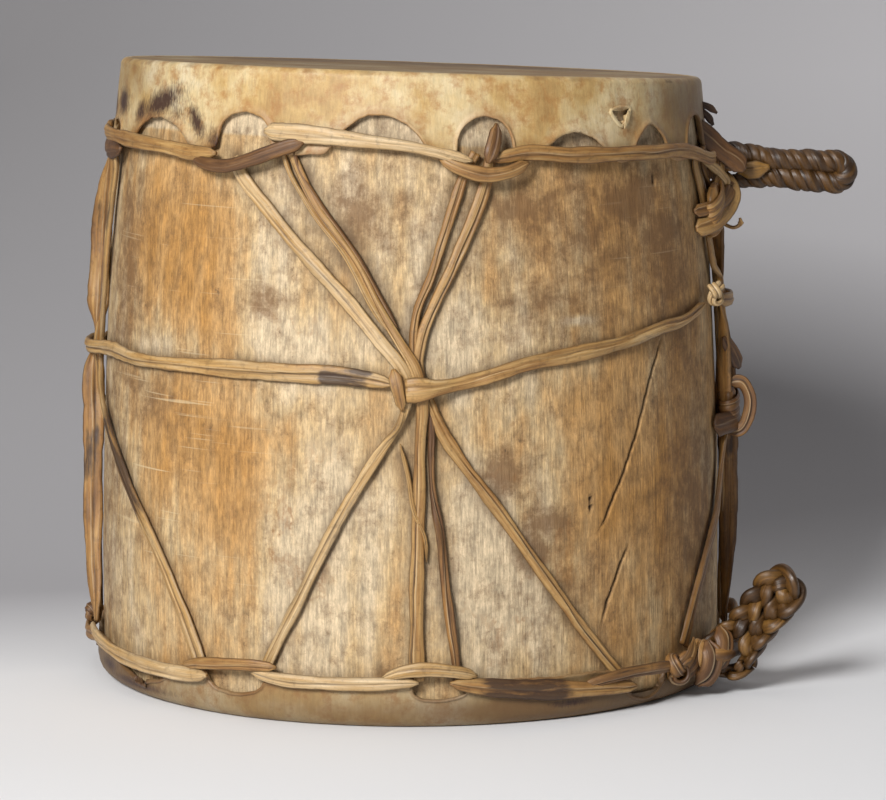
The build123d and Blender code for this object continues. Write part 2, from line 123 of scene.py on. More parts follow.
# A node given as a link stands for its first output, or for this one
usualOutput = {"ShaderNodeMix": 2, "ShaderNodeAttribute": 2}


def addNode(tree, kind, settings=None, links=None, ramp=None):
    node = tree.nodes.new("ShaderNode" + kind)
    for key, value in (settings or {}).items():
        if isinstance(key, int) or key in node.inputs:
            node.inputs[key].default_value = linear(value) if isinstance(value, str) else value
        else:
            setattr(node, key, value)
    for key, source in (links or {}).items():
        if isinstance(source, bpy.types.Node):
            source = source.outputs[usualOutput.get(source.bl_idname, 0)]
        tree.links.new(source, node.inputs[key])
    if ramp:
        stops = node.color_ramp.elements
        while len(stops) < len(ramp):
            stops.new(0.5)
        for stop, (place, colour) in zip(stops, ramp):
            stop.position = place
            stop.color = linear(colour) if isinstance(colour, str) else (colour, colour, colour, 1.0)
    return node


def newMaterial(name):
    material = bpy.data.materials.new(name)
    material.use_nodes = True
    material.node_tree.nodes.clear()
    return material, material.node_tree


def makePiece(name, parts, material, body, nodes=()):
    verts, faces, layers, start = [], [], {}, 0
    for part in parts:
        count = len(part["verts"])
        verts.append(part["verts"])
        faces += [tuple(i + start for i in face) for face in part["faces"]]
        for key, values in part["layers"].items():
            layers.setdefault(key, []).append(np.broadcast_to(values, count))
        start += count
    mesh = bpy.data.meshes.new(name)
    mesh.from_pydata((np.concatenate(verts) / 1000).tolist(), [], faces)
    for key, values in layers.items():
        layer = mesh.attributes.new(key, "FLOAT", "POINT")
        layer.data.foreach_set("value", np.concatenate(values).astype(np.float32))
    mesh.polygons.foreach_set("use_smooth", np.ones(len(mesh.polygons), bool))
    mesh.materials.append(material)
    mesh.validate()
    piece = bpy.data.objects.new(name, mesh)
    bpy.context.scene.collection.objects.link(piece)
    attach(piece, body)
    if nodes:
        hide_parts(*nodes)
    return piece


def gridFaces(rows, columns, closed):  # quads between rows of points, joined round when closed
    r, c = np.meshgrid(np.arange(rows - 1), np.arange(columns if closed else columns - 1), indexing="ij")
    d = (c + 1) % columns
    quads = np.stack([r * columns + c, r * columns + d, (r + 1) * columns + d, (r + 1) * columns + c], -1)
    return [tuple(q) for q in quads.reshape(-1, 4).tolist()]


# Noises: size in millimetres, along x, y and z where it is stretched, then detail, roughness and turn
def addPatterns(tree, patterns):
    where = addNode(tree, "TexCoord").outputs["Object"]
    noises = {}
    for name, (size, detail, uneven, *turn) in patterns.items():
        sizes = size if isinstance(size, tuple) else (size, size, size)
        lie = addNode(tree, "Mapping", {"Scale": [1000 / s for s in sizes], "Rotation": turn or (0, 0, 0)},
                      {"Vector": where})
        noises[name] = addNode(tree, "TexNoise", {"Scale": 1.0, "Detail": detail, "Roughness": uneven},
                               {"Vector": lie})
    return noises


# Colours laid over one another, each where its mask is high, with a ramp where the mask has to be sharpened
def layOver(tree, colour, coats):
    for mask, shade, ramp in coats:
        if ramp:
            mask = addNode(tree, "ValToRGB", None, {0: mask}, ramp)
        colour = addNode(tree, "Mix", {"data_type": "RGBA", 7: shade}, {0: mask, 6: colour})
    return colour


def closeMaterial(tree, colour, relief, depth, wear, dull, ior):  # depth is bump strength and metres
    bump = addNode(tree, "Bump", {"Strength": depth[0], "Distance": depth[1]}, {"Height": relief})
    roughness = addNode(tree, "MapRange", {"To Min": dull[0], "To Max": dull[1]}, {"Value": wear})
    shader = addNode(tree, "BsdfPrincipled", {"IOR": ior},
                     {"Base Color": colour, "Roughness": roughness, "Normal": bump})
    addNode(tree, "OutputMaterial", None, {"Surface": shader})


def addLayers(tree, *names):  # values that each piece carries at its points
    return {name: addNode(tree, "Attribute", {"attribute_name": name}) for name in names}


# Rawhide thong: a strip cut wet from a hide, pulled taut and rolled up as it dried. Smooth and horny, straw
# to golden tan and brown where hair or blood stayed in, with a painted cream highlight along the crest of
# its lapped cut edge, and painted shade in brown beneath the lap and along both rims.
def makeThongMaterial(name, stops, cream, dark, stainColour, gloss):
    material, tree = newMaterial(name)
    layer = addLayers(tree, "along", "across", "tint", "lapHighlightAndShade", "stain", "strand")
    dust = addPatterns(tree, {"dust": (2.2, 4.0, 0.65)})["dust"]
    # patches 21 mm long and fibres 34 mm long lie along the thong, and differ from strand to strand
    alongPatch = addNode(tree, "Math", {"operation": "MULTIPLY", 1: 1 / 21.0}, {0: layer["along"]})
    alongFibre = addNode(tree, "Math", {"operation": "MULTIPLY", 1: 1 / 34.0}, {0: layer["along"]})
    acrossFibre = addNode(tree, "Math", {"operation": "MULTIPLY", 1: 4.2}, {0: layer["across"]})
    apart = addNode(tree, "Math", {"operation": "MULTIPLY", 1: 41.0}, {0: layer["strand"]})
    patchLie = addNode(tree, "CombineXYZ", None, {0: alongPatch, 1: layer["across"], 2: apart})
    fibreLie = addNode(tree, "CombineXYZ", None, {0: alongFibre, 1: acrossFibre, 2: apart})
    patch = addNode(tree, "TexNoise", {"Scale": 1.0, "Detail": 5.0, "Roughness": 0.62},
                    {"Vector": patchLie})
    fibres = addNode(tree, "TexNoise", {"Scale": 1.0, "Detail": 4.0, "Roughness": 0.6},
                     {"Vector": fibreLie})
    patchShift = addNode(tree, "Math", {"operation": "MULTIPLY_ADD", 1: 1.05, 2: -0.525}, {0: patch})
    tone = addNode(tree, "Math", {"operation": "ADD"}, {0: layer["tint"], 1: patchShift})
    base = addNode(tree, "ValToRGB", None, {0: tone}, stops)
    lines = addNode(tree, "ValToRGB", None, {0: fibres}, [(0.32, 0.58), (0.62, 1.12)])
    lined = addNode(tree, "Mix", {"data_type": "RGBA", "blend_type": "MULTIPLY", 0: 0.8},
                    {6: base, 7: lines})
    # painted shade beneath the lapped edge
    under = addNode(tree, "Math", {"operation": "MULTIPLY", 1: -1.0}, {0: layer["lapHighlightAndShade"]})
    # painted shade along both rims of the thong
    rim = addNode(tree, "Math", {"operation": "ABSOLUTE"}, {0: layer["across"]})
    ragged = addNode(tree, "Math", {"operation": "MULTIPLY_ADD", 1: 1.7, 2: -0.85}, {0: patch})
    stained = addNode(tree, "Math", {"operation": "ADD"}, {0: layer["stain"], 1: ragged})
    # dust, a painted cream highlight on the lap's crest and painted shade beneath it, painted shade along
    # the rims, stains
    colour = layOver(tree, lined, [(dust, dark, [(0.32, 0.30), (0.46, 0.0)]),
                                   (layer["lapHighlightAndShade"], cream, [(0.15, 0.0), (0.95, 0.62)]),
                                   (under, dark, [(0.05, 0.0), (0.85, 0.85)]),
                                   (rim, dark, [(0.80, 0.0), (1.0, 0.62)]),
                                   (stained, stainColour, [(0.34, 0.0), (0.60, 0.88)])])
    relief = addNode(tree, "Math", {"operation": "MULTIPLY_ADD", 1: 0.4}, {0: dust, 2: fibres})
    closeMaterial(tree, colour, relief, (0.5, 0.0005), dust, (gloss - 0.10, gloss + 0.20), 1.50)
    return material


# after the ramp: the cream of the painted highlight on the lap's crest, the dark of dust and of the painted
# shade under the lap and along the rims, the stain colour, and gloss
thongRawhide = makeThongMaterial(
    "dried rawhide thong",
    [(0.0, "#3A2414"), (0.28, "#674524"), (0.50, "#936A38"), (0.72, "#AF8A54"), (1.0, "#C6AB82")],
    "#CDB48E", "#34200F", "#301C12", 0.46)
plaitRawhide = makeThongMaterial(
    "handled rawhide plait", [(0.0, "#180E06"), (0.35, "#362109"), (0.62, "#5E3F18"), (1.0, "#8C662E")],
    "#A07B42", "#140B05", "#150C07", 0.40)


# Stretched rawhide: scraped cowhide shrunk over the rim as it dried. Cream to ochre, faint veins and clouds,
# brown and pinkish at the cut edge, with a few patches where the dark hair was left on. Single hairs are far
# finer, so they are drawn as strokes 0.7 mm wide.
def makeHeadMaterial():
    material, tree = newMaterial("stretched rawhide head")
    layer = addLayers(tree, "edge", "hair", "dirt")
    noises = addPatterns(tree, {"clouds": (30, 6.0, 0.62), "mottle": (6, 8.0, 0.74),
                                "streaks": ((1.0, 1.0, 6.5), 4.0, 0.68),
                                "strokes": ((0.7, 0.7, 2.2), 3.0, 0.6, 0.0, 0.5, 0.0)})
    base = addNode(tree, "ValToRGB", None, {0: noises["clouds"]},
                   [(0.28, "#987444"), (0.44, "#B6965F"), (0.57, "#C8B286"), (0.76, "#D6C9AC")])
    fibres = addNode(tree, "ValToRGB", None, {0: noises["streaks"]}, [(0.32, 0.74), (0.62, 1.06)])
    fibred = addNode(tree, "Mix", {"data_type": "RGBA", "blend_type": "MULTIPLY", 0: 0.7},
                     {6: base, 7: fibres})
    ragged = addNode(tree, "Math", {"operation": "MULTIPLY_ADD", 1: 1.3, 2: -0.65}, {0: noises["strokes"]})
    hairy = addNode(tree, "Math", {"operation": "ADD"}, {0: layer["hair"], 1: ragged})
    colour = layOver(tree, fibred, [(noises["mottle"], "#9A6C3A", [(0.36, 0.72), (0.52, 0.0)]),
                                    (layer["edge"], "#8A5C34", [(0.05, 0.0), (0.95, 0.70)]),
                                    (layer["dirt"], "#5A4024", None),
                                    (hairy, "#351D15", [(0.20, 0.0), (0.55, 0.50), (0.95, 0.96)])])
    relief = addNode(tree, "Math", {"operation": "MULTIPLY_ADD", 1: 0.5},
                     {0: noises["streaks"], 2: noises["mottle"]})
    closeMaterial(tree, colour, relief, (0.35, 0.0006), noises["mottle"], (0.42, 0.64), 1.48)
    return material


headRawhide = makeHeadMaterial()


# Weathered log wood: a soft pale timber, adzed, dried and handled for years without a finish. Upright grain,
# bleached grey patches beside honey ones, tide lines from damp, soot specks, and grime with painted shade
# beside the thongs and below the upper skin. Its grain and pores are finer than a pixel, and are drawn
# coarser.
def makeWoodMaterial():
    material, tree = newMaterial("weathered log wood")
    layer = addLayers(tree, "tone", "brown", "grimeAndShade", "crack", "damp", "worn")
    noises = addPatterns(tree, {"grain": ((0.8, 0.8, 11), 5.0, 0.7), "bands": ((8, 8, 50), 4.0, 0.55),
                                "pores": ((2.4, 2.4, 6.4), 7.0, 0.8), "mottle": (8.5, 10.0, 0.76),
                                "clouds": (30, 6.0, 0.6), "specks": (1.6, 3.0, 0.7),
                                "scuffs": ((45, 45, 1.0), 1.0, 0.5, 0.10, 0.14, 0.0)})
    tone = layer["tone"]
    for key in ("bands", "clouds"):  # honey against bleached wood
        shift = addNode(tree, "Math", {"operation": "MULTIPLY_ADD", 1: 1.1, 2: -0.55}, {0: noises[key]})
        tone = addNode(tree, "Math", {"operation": "ADD"}, {0: tone, 1: shift})
    colour = addNode(tree, "ValToRGB", None, {0: tone},
                     [(0.0, "#CCB694"), (0.30, "#C3A67A"), (0.58, "#BC935E"), (0.95, "#AF8044")])
    for key, ramp, share in (("grain", [(0.34, 0.48), (0.60, 1.16)], 0.6),
                             ("pores", [(0.34, 0.50), (0.62, 1.16)], 0.9)):
        shade = addNode(tree, "ValToRGB", None, {0: noises[key]}, ramp)
        colour = addNode(tree, "Mix", {"data_type": "RGBA", "blend_type": "MULTIPLY", 0: share},
                         {6: colour, 7: shade})
    browned = addNode(tree, "Math", {"operation": "MULTIPLY_ADD", 1: 0.55},
                      {0: layer["brown"], 2: noises["mottle"]})
    offset = addNode(tree, "Math", {"operation": "SUBTRACT", 1: 0.53}, {0: noises["clouds"]})
    contour = addNode(tree, "Math", {"operation": "ABSOLUTE"}, {0: offset})
    ramps = {"cluster": (noises["mottle"], [(0.52, 0.0), (0.66, 1.0)]),
             "speck": (noises["specks"], [(0.56, 0.0), (0.66, 0.75)]),
             "tide": (contour, [(0.003, 0.75), (0.026, 0.0)]),
             "gap": (noises["pores"], [(0.42, 0.0), (0.60, 1.0)]),
             "scuff": (noises["scuffs"], [(0.69, 0.0), (0.74, 0.55)])}
    part = {key: addNode(tree, "ValToRGB", None, {0: source}, ramp)
            for key, (source, ramp) in ramps.items()}
    broken = addNode(tree, "Math", {"operation": "MULTIPLY"}, {0: part["tide"], 1: part["gap"]})
    specked, tided, scuffed = [addNode(tree, "Math", {"operation": "MULTIPLY"}, {0: one, 1: other})
                               for one, other in ((part["cluster"], part["speck"]), (broken, layer["damp"]),
                                                  (part["scuff"], layer["worn"]))]
    # brown mottling, soot specks, tide lines along contours of the clouds, pale scuffs, grime with painted
    # shade beside the thongs, cracks
    colour = layOver(tree, colour, [(browned, "#6A4A2A", [(0.50, 0.0), (0.74, 0.80)]),
                                    (specked, "#5A4630", None), (tided, "#7C5126", None),
                                    (scuffed, "#D2BE98", None), (layer["grimeAndShade"], "#5B452D", None),
                                    (layer["crack"], "#2A1C10", None)])
    relief = addNode(tree, "Math", {"operation": "MULTIPLY_ADD", 1: 0.6},
                     {0: noises["mottle"], 2: noises["grain"]})
    closeMaterial(tree, colour, relief, (0.55, 0.0006), noises["mottle"], (0.58, 0.82), 1.45)
    return material


logWood = makeWoodMaterial()
print("materials made")


def makeThong(name, strips, *nodes):  # a thong that stays on the drum
    return makePiece(name, strips, thongRawhide, "drum", nodes)


# Section of a rolled thong: a rounded upper face with most of the points, and a flatter underside
upperFace = 0.55 * np.linspace(1, -1, 19) + 0.45 * np.sin(np.linspace(1, -1, 19) * np.pi / 2)
underFace = np.linspace(-0.8, 0.8, 7)
sectionX = np.concatenate([upperFace, underFace])
sectionY = np.concatenate([(1 - np.abs(upperFace) ** 2.2 + 1e-9) ** 0.6,
                           -0.8 * (1 - np.abs(underFace) ** 2.2) ** 0.6])


# One thong along given centres. Directions out of the drum say which face looks outwards. One cut edge laps
# over the rolled body as a step that wanders along the thong.
def sweepStrip(centres, outs, width, thick, twist, seed, style):
    rng = random.Random(seed)
    count, ring = len(centres), len(sectionX)
    tangents = unit(np.gradient(centres, axis=0))
    sides = unit(np.cross(tangents, outs))
    outs = np.cross(sides, tangents)
    turn = np.radians(np.broadcast_to(twist, count))[:, None]
    sides, outs = sides * np.cos(turn) + outs * np.sin(turn), outs * np.cos(turn) - sides * np.sin(turn)
    along = distances(centres)
    line = np.stack([along, 0 * along + seed * 3.7, 0 * along], -1)
    uneven = style.get("uneven", 0.20)
    width = width * (1 + uneven * rough(line, 19.0, 1.0))
    thick = thick * (1 + 0.8 * uneven * rough(line, 13.0, 2.0))
    for tip, fromEnd in ((style.get("startTip", 0.0), along),
                         (style.get("endTip", 0.0), along[-1] - along)):
        if tip:
            taper = 0.35 + 0.65 * smoothstep(0, tip, fromEnd)
            width, thick = width * taper, thick * (0.4 + 0.6 * taper)
    lap = rng.uniform(-0.30, 0.30) + 0.34 * rough(line, 36.0, 3.0)
    gap = rng.choice((-1, 1)) * (sectionX[None] - lap[:, None])
    deep = style.get("lapDepth", 0.50) * np.clip(0.75 + 0.6 * rough(line, 26.0, 5.0), 0.1, 1.2)
    swell = 1 - deep[:, None] * smoothstep(-0.04, 0.12, gap) * (1 - smoothstep(0.12, 0.95, gap))
    for groove in range(style.get("grooves", 1)):
        wander = rng.uniform(-0.7, 0.7) + 0.35 * rough(line + groove * 31.0, 22.0, 7.0)
        swell -= 0.22 * np.exp(-((sectionX[None] - wander[:, None]) / 0.13) ** 2)
    swell = np.clip(swell, 0.2, 1.2)
    # painted highlight along the crest of the lapped edge, and painted shade in a band beneath it, both
    # passed to the material as colour
    lapShadeBand = smoothstep(0.0, 0.08, gap) * (1 - smoothstep(0.10, 0.42, gap))
    lapHighlightAndShade = (np.exp(-((gap + 0.05) / 0.09) ** 2) - lapShadeBand) * (deep[:, None] / 0.5) * (sectionY > 0)
    ragged = 1 + 0.05 * rough(line * 2.3 + 9.0, 7.0, 7.0)
    half = (width * ragged / 2)[:, None, None]
    points = (centres[:, None] + sides[:, None] * half * sectionX[None, :, None]
              + outs[:, None] * ((thick / 2)[:, None] * sectionY[None] * swell)[..., None])
    verts = np.concatenate([points.reshape(-1, 3), centres[:1], centres[-1:]])
    faces = gridFaces(count, ring, True)
    last = (count - 1) * ring
    for k in range(ring):
        faces.append((count * ring, (k + 1) % ring, k))
        faces.append((count * ring + 1, last + k, last + (k + 1) % ring))
    share = along / along[-1]
    stain = np.zeros(count)
    for low, high, amount in style.get("stains", ()):
        fade = 0.15 * (high - low)
        stain = np.maximum(stain, amount * smoothstep(low - fade, low + fade, share)
                           * (1 - smoothstep(high - fade, high + fade, share)))
    tint = style.get("tint", rng.uniform(0.35, 0.7))
    tint = np.interp(share, *zip(*tint)) if isinstance(tint, list) else np.full(count, tint)
    ends = [0, 0]
    layers = {"along": np.append(np.repeat(along, ring), ends),
              "across": np.append(np.tile(sectionX, count), ends),
              "stain": np.append(np.repeat(stain, ring), ends), "lapHighlightAndShade": np.append(lapHighlightAndShade.reshape(-1), ends),
              "tint": np.append(np.repeat(tint, ring), [0.3, 0.3]), "strand": (seed % 97) / 97}
    return {"verts": verts, "faces": faces, "layers": layers, "line": centres}


# One thong laid on the drum: places are angle, height, lift of the underside, then share of width and twist.
def layStrip(places, width, thick, seed, **style):
    filler = [style.get("lift", 0.3), 1.0, 0.0]
    table = np.array([list(p) + filler[len(p) - 2:] for p in places], float)
    flat = np.stack([np.radians(table[:, 0]) * wallRadius(table[:, 1]), table[:, 1], table[:, 2]], -1)
    marks = distances(flat)
    at = np.linspace(0, marks[-1], max(6, int(marks[-1] / style.get("step", 1.1))))
    angle, height, lift, share, twist = bendThrough(marks, table, at).T
    sway = style.get("sway", 0.45)
    line = np.stack([at, 0 * at + seed * 5.1, 0 * at], -1)
    height = height + sway * 0.6 * rough(line, 30.0, 11.0)
    angle = angle + np.degrees(sway * rough(line, 34.0, 13.0) / wallRadius(height))
    tall = np.maximum(thick, thick + (share * width - thick) * np.abs(np.sin(np.radians(twist))))
    centres = onWall(angle, height, np.maximum(lift, 0.12) + tall / 2)
    return sweepStrip(centres, radial(angle), width * np.clip(share, 0.2, 3), thick, twist, seed, style)


# Rim edges of the two skins: arches between the tabs, as first angle, last angle, crown and kind
upperSkin = {"arches": [(-64, -44.5, 206.8, "flat"), (-37.4, -25.3, 210.2, "hole"),
                        (-14.5, 4.2, 210, "flat"), (8.7, 19.6, 209.2, "hole"), (24, 40, 203.2, "flat"),
                        (45.5, 57.5, 204.2, "flat"), (64.7, 77, 206, "hole"), (102, 114, 205, "hole"),
                        (120, 136, 203.5, "flat"), (142, 154, 206, "hole"), (163, 181, 206, "flat"),
                        (190, 202, 208, "hole"), (209.5, 226.5, 208, "flat"), (234, 246, 210.5, "hole"),
                        (253.5, 270.5, 209, "flat"), (280, 288, 204, "hole")],
             "tab": 28.0, "lift": 2.0, "bend": 2.6, "faceLift": -0.35,
             "tear": [(40.5, 210.3), (43.2, 204.6), (45.9, 209.7)]}
lowerSkin = {"arches": [(-66, -44.5, 5.6, "flat"), (-37.2, -25.4, 8.6, "hole"), (0.4, 10.2, 9.6, "hole"),
                        (40.2, 51.2, 3.6, "hole"), (84, 96, 8.0, "hole"), (103, 118, 9, "flat"),
                        (125, 137, 8, "hole"), (147.5, 163.5, 8.5, "flat"), (174, 186, 8, "hole"),
                        (195, 210, 9, "flat"), (219, 231, 8, "hole"), (241.5, 257.5, 8.5, "flat"),
                        (268, 280, 8, "hole")],
             "tab": 15.2, "lift": 2.0, "bend": 5.8, "faceLift": 0.15, "tear": None}
# Counts of points, and the radii between which the blots of the skirt fade out
skinStyle = {"columns": 1300, "skirtRows": 16, "turnRows": 6, "faceRows": 32, "faceTo": 88,
             "skirtFrom": 101, "grimiest": 0.9, "centreDepth": 1.6}


def skinEdge(skin, upper):  # the cut edge as one closed run of angle and height
    def tabHeight(angle):
        return log["height"] - skin["tab"] - topDrop(angle) if upper else skin["tab"] + 0 * angle

    points = []
    arches = sorted((a0 % 360, (a0 % 360) + (a1 - a0), crown, kind)
                    for a0, a1, crown, kind in skin["arches"])
    for i, (a0, a1, crown, kind) in enumerate(arches):
        t = np.linspace(0, 1, 40)
        if kind == "hole":
            angle = (a0 + a1) / 2 - (a1 - a0) / 2 * np.cos(np.pi * t) * (1 + 0.10 * np.sin(np.pi * t))
            rise = np.sin(np.pi * t) ** 0.85
        else:
            angle = a0 + (a1 - a0) * t
            rise = (1 - (2 * t - 1) ** 2) ** 0.85
        foot = tabHeight(angle)
        points.append(np.stack([angle, foot + (crown - foot) * rise], -1))
        b0 = arches[(i + 1) % len(arches)][0] + (360 if i == len(arches) - 1 else 0)
        t = np.linspace(0, 1, 24)[1:-1]
        angle = a1 + (b0 - a1) * t
        dip = np.sin(np.pi * t) * (1.1 if upper else -0.9)
        points.append(np.stack([angle, tabHeight(angle) - dip], -1))
    edge = np.concatenate(points)
    for _ in range(2):
        edge[1:-1] = (edge[:-2] + 2 * edge[1:-1] + edge[2:]) / 4
    return edge


def skinGrid(skin, upper, columns):
    edge = skinEdge(skin, upper)
    loop = np.concatenate([edge, edge[:1] + [360, 0]])
    flat = np.stack([np.radians(loop[:, 0]) * skirtRadius, loop[:, 1]], -1)
    marks = distances(flat)
    at = np.linspace(0, marks[-1], columns, endpoint=False)
    angle = np.interp(at, marks, loop[:, 0])
    height = np.interp(at, marks, loop[:, 1])
    line = np.stack([at, 0 * at, 0 * at], -1)
    height = height + 0.55 * rough(line, 12.0, 3.0 if upper else 4.0) + 0.35 * rough(line, 2.6, 5.0)
    spread = columns // 60
    wide = np.concatenate([angle[-spread:] - 360, angle, angle[:spread] + 360])
    smooth = np.convolve(wide, np.ones(2 * spread + 1) / (2 * spread + 1), "valid")
    return angle, height, smooth


def tornQuads(corners, rows):  # quads of the skirt that lie inside a three-cornered tear
    angles, heights, _ = np.swapaxes(np.array(rows), 0, 1)
    middleA = (angles[:-1] + angles[1:]) / 2
    middleH = (heights[:-1] + heights[1:]) / 2
    inside = np.ones(middleA.shape, bool)
    for (a0, h0), (a1, h1) in zip(corners, corners[1:] + corners[:1]):
        inside &= (a1 - a0) * (middleH - h0) - (h1 - h0) * (middleA - a0) >= 0
    return set(np.flatnonzero(inside).tolist())


def buildHead(name, skin, upper, blots, material):
    columns, grimiest = skinStyle["columns"], skinStyle["grimiest"]
    edgeAngle, edgeHeight, rimAngle = skinGrid(skin, upper, columns)
    bend = skin["bend"]
    rimLevel = log["height"] - topDrop(rimAngle) if upper else 0 * rimAngle
    sign = -1 if upper else 1
    turnHeight = rimLevel + sign * bend
    rows, rowEdge = [], []
    for share in np.linspace(1, 0, skinStyle["skirtRows"]):  # skirt, from its cut edge up
        blendIn = share ** 1.5
        angle = rimAngle + (edgeAngle - rimAngle) * blendIn
        height = turnHeight + (edgeHeight - turnHeight) * share
        curl = 0.75 * smoothstep(0.80, 1.0, share) + 0.25
        base = onWall(angle, height, 0)
        ripple = rough(np.stack([base[:, 0], base[:, 1], base[:, 2] * 0.35], -1), 16.0, 5.0)
        rows.append((angle, height, skin["lift"] - 0.25 + curl + 0.35 * ripple))
        rowEdge.append(np.full(columns, share))
    skinVerts = [onWall(*row) for row in rows]
    outerRadius = wallRadius(turnHeight, skin["lift"])
    turnRows = skinStyle["turnRows"]
    for k in range(1, turnRows + 1):  # round over the rim
        turn = math.pi / 2 * k / turnRows
        radius = outerRadius - bend + bend * math.cos(turn)
        height = turnHeight - sign * bend * math.sin(turn)
        base = onWall(rimAngle, height, 0)
        wave = 0.22 * rough(base, 20.0, 6.0) + 0.12 * rough(base, 4.0, 7.0)
        skinVerts.append(radial(rimAngle) * (radius + wave)[:, None] + np.outer(height, upright))
        rowEdge.append(np.zeros(columns))
    flatRadius = outerRadius - bend
    flatShares = np.linspace(0.985, 0.02, skinStyle["faceRows"])
    for share in flatShares:
        points = radial(rimAngle) * (flatRadius * share)[:, None]
        level = 0 * rimAngle + skin["faceLift"]
        if upper:
            slant = topDrop(rimAngle) * (flatRadius * share / log["topRadius"])
            level = log["height"] - slant + skin["faceLift"] + 0.5 * rough(points, 45.0,
                                                                           8.0) * smoothstep(1.0, 0.8,
                                                                                             share)
        skinVerts.append(points + np.outer(level, upright))
        rowEdge.append(np.zeros(columns))
    count = len(skinVerts)
    outer = np.concatenate(skinVerts)
    # the inside follows the outside, one skin deeper
    grid = np.stack(skinVerts)
    downRows = np.gradient(grid, axis=0)
    downCols = np.gradient(np.concatenate([grid[:, -1:], grid, grid[:, :1]], 1), axis=1)[:, 1:-1]
    normals = unit(np.cross(downCols, downRows))
    normals *= np.sign((normals * grid).sum(-1, keepdims=True) + 1e-9) if not upper else 1
    flip = np.sign((normals[2] * radial(rimAngle)).sum(-1).mean())
    normals = normals * flip
    normals[-len(flatShares):] = upright if upper else -upright
    shares = np.stack(rowEdge)[..., None]
    inner = (grid - normals * log["skin"] * (0.92 - 0.45 * smoothstep(0.8, 1.0, shares))).reshape(-1, 3)
    centreTop = ((log["height"] if upper else 0) + skin["faceLift"]) * upright[None]
    centreIn = centreTop + sign * skinStyle["centreDepth"] * upright
    verts = np.concatenate([outer, inner, centreTop, centreIn])
    size, last = count * columns, (count - 1) * columns
    faces = []
    torn = tornQuads(skin["tear"], rows) if skin["tear"] else set()
    for i, quad in enumerate(gridFaces(count, columns, True)):
        if i not in torn:
            faces.append(quad)
            faces.append(tuple(k + size for k in reversed(quad)))
            continue
        beside = (i - columns, i + 1, i + columns, i - 1)  # walls of the tear
        for k, neighbour in enumerate(beside):
            if neighbour not in torn:
                a, b = quad[k], quad[(k + 1) % 4]
                faces.append((a, b, b + size, a + size))
    for c in range(columns):
        d = (c + 1) % columns
        faces.append((d, c, size + c, size + d))
        faces.append((last + c, last + d, 2 * size))
        faces.append((size + last + d, size + last + c, 2 * size + 1))
    angles = np.concatenate([row[0] for row in rows] + [rimAngle] * (count - len(rows)))
    heights = outer[:, 2]
    hair, dirt = np.zeros(size), np.zeros(size)
    onSkirt = smoothstep(skinStyle["faceTo"], skinStyle["skirtFrom"], np.hypot(outer[:, 0], outer[:, 1]))
    for kind, a, h, wide, tall, amount, lean in blots:
        da = (angles - a + 180) % 360 - 180
        dx, dh = np.radians(da) * skirtRadius, heights - h
        u = dx * math.cos(lean) + dh * math.sin(lean)
        v = dh * math.cos(lean) - dx * math.sin(lean)
        mark = amount * onSkirt * np.exp(-((u / wide) ** 2 + (v / tall) ** 2))
        if kind == "hair":
            hair = np.maximum(hair, mark)
        else:
            dirt = np.clip(dirt + mark, 0, grimiest)
    if upper:  # the face is darker all over and more so towards the back, and the turn of the rim is worn brown in places
        level = np.repeat(np.arange(count), columns)
        onFace = level > len(rows) + turnRows - 1
        onTurn = (level > len(rows)) & (level < len(rows) + turnRows - 1)
        faceDarkening = (0.58 + 0.25 * smoothstep(20, 80, outer[:, 1]) + 0.18 * rough(outer, 30.0, 21.0)) * onFace
        turned = onTurn * smoothstep(0.05, 0.5, rough(outer, 9.0, 22.0))
        dirt = np.clip(dirt + faceDarkening + 0.35 * turned, 0, grimiest)
    else:  # the foot has stood on the ground
        dirt = np.clip(dirt + 0.36, 0, grimiest)
    edgeShade = np.clip(np.concatenate(rowEdge) ** 4 * (0.75 + 0.6 * rough(outer, 22.0, 9.0)), 0, 1)
    layers = {"edge": edgeShade, "hair": hair, "dirt": dirt}
    layers = {key: np.concatenate([values, values, values[-2:]]) for key, values in layers.items()}
    return makePiece(name, [{"verts": verts, "faces": faces, "layers": layers}], material, "drum",
                     (name.replace("skin", "head"),))


upperBlots = [("hair", -54, 212, 14, 4.6, 1.15, 0.3), ("hair", -62, 208, 6, 4, 1.0, 0.4),
              ("hair", -48.5, 209, 8, 4.5, 0.6, 0), ("hair", -43, 206, 3.2, 7.5, 1.05, 0.65),
              ("hair", -37.5, 199, 3.4, 6, 0.9, 0.65), ("hair", -73, 210.5, 8, 5.0, 1.2, 0.0),
              ("hair", -84, 208, 9, 5.0, 1.15, 0.0), ("dirt", -70, 220, 26, 9, 0.42, 0),
              ("dirt", -84, 203, 14, 12, 0.3, 0), ("dirt", 78, 208, 26, 16, 0.72, 0),
              ("dirt", 60, 212, 18, 15, 0.54, 0), ("hair", 150, 209, 14, 4, 0.95, 0.2),
              ("dirt", 200, 210, 40, 9, 0.3, 0), ("hair", 228, 212, 9, 3, 0.9, 0.3)]
lowerBlots = [("hair", -57, 4.6, 20, 1.7, 1.0, 0), ("hair", -70, 7.0, 9, 2.6, 0.9, 0),
              ("dirt", -70, 5, 40, 9, 0.55, 0), ("dirt", -10, 5, 70, 6, 0.38, 0),
              ("dirt", 30, 6, 40, 6, 0.55, 0), ("dirt", 60, 6, 50, 10, 0.7, 0),
              ("hair", 29, 6.2, 8, 1.4, 0.9, 0), ("dirt", 120, 5, 70, 8, 0.5, 0),
              ("dirt", 200, 5, 80, 8, 0.5, 0), ("dirt", 260, 5, 50, 8, 0.5, 0)]
buildHead("upper_skin", upperSkin, True, upperBlots, headRawhide)
buildHead("lower_skin", lowerSkin, False, lowerBlots, headRawhide)
print("skins laid over the rims")

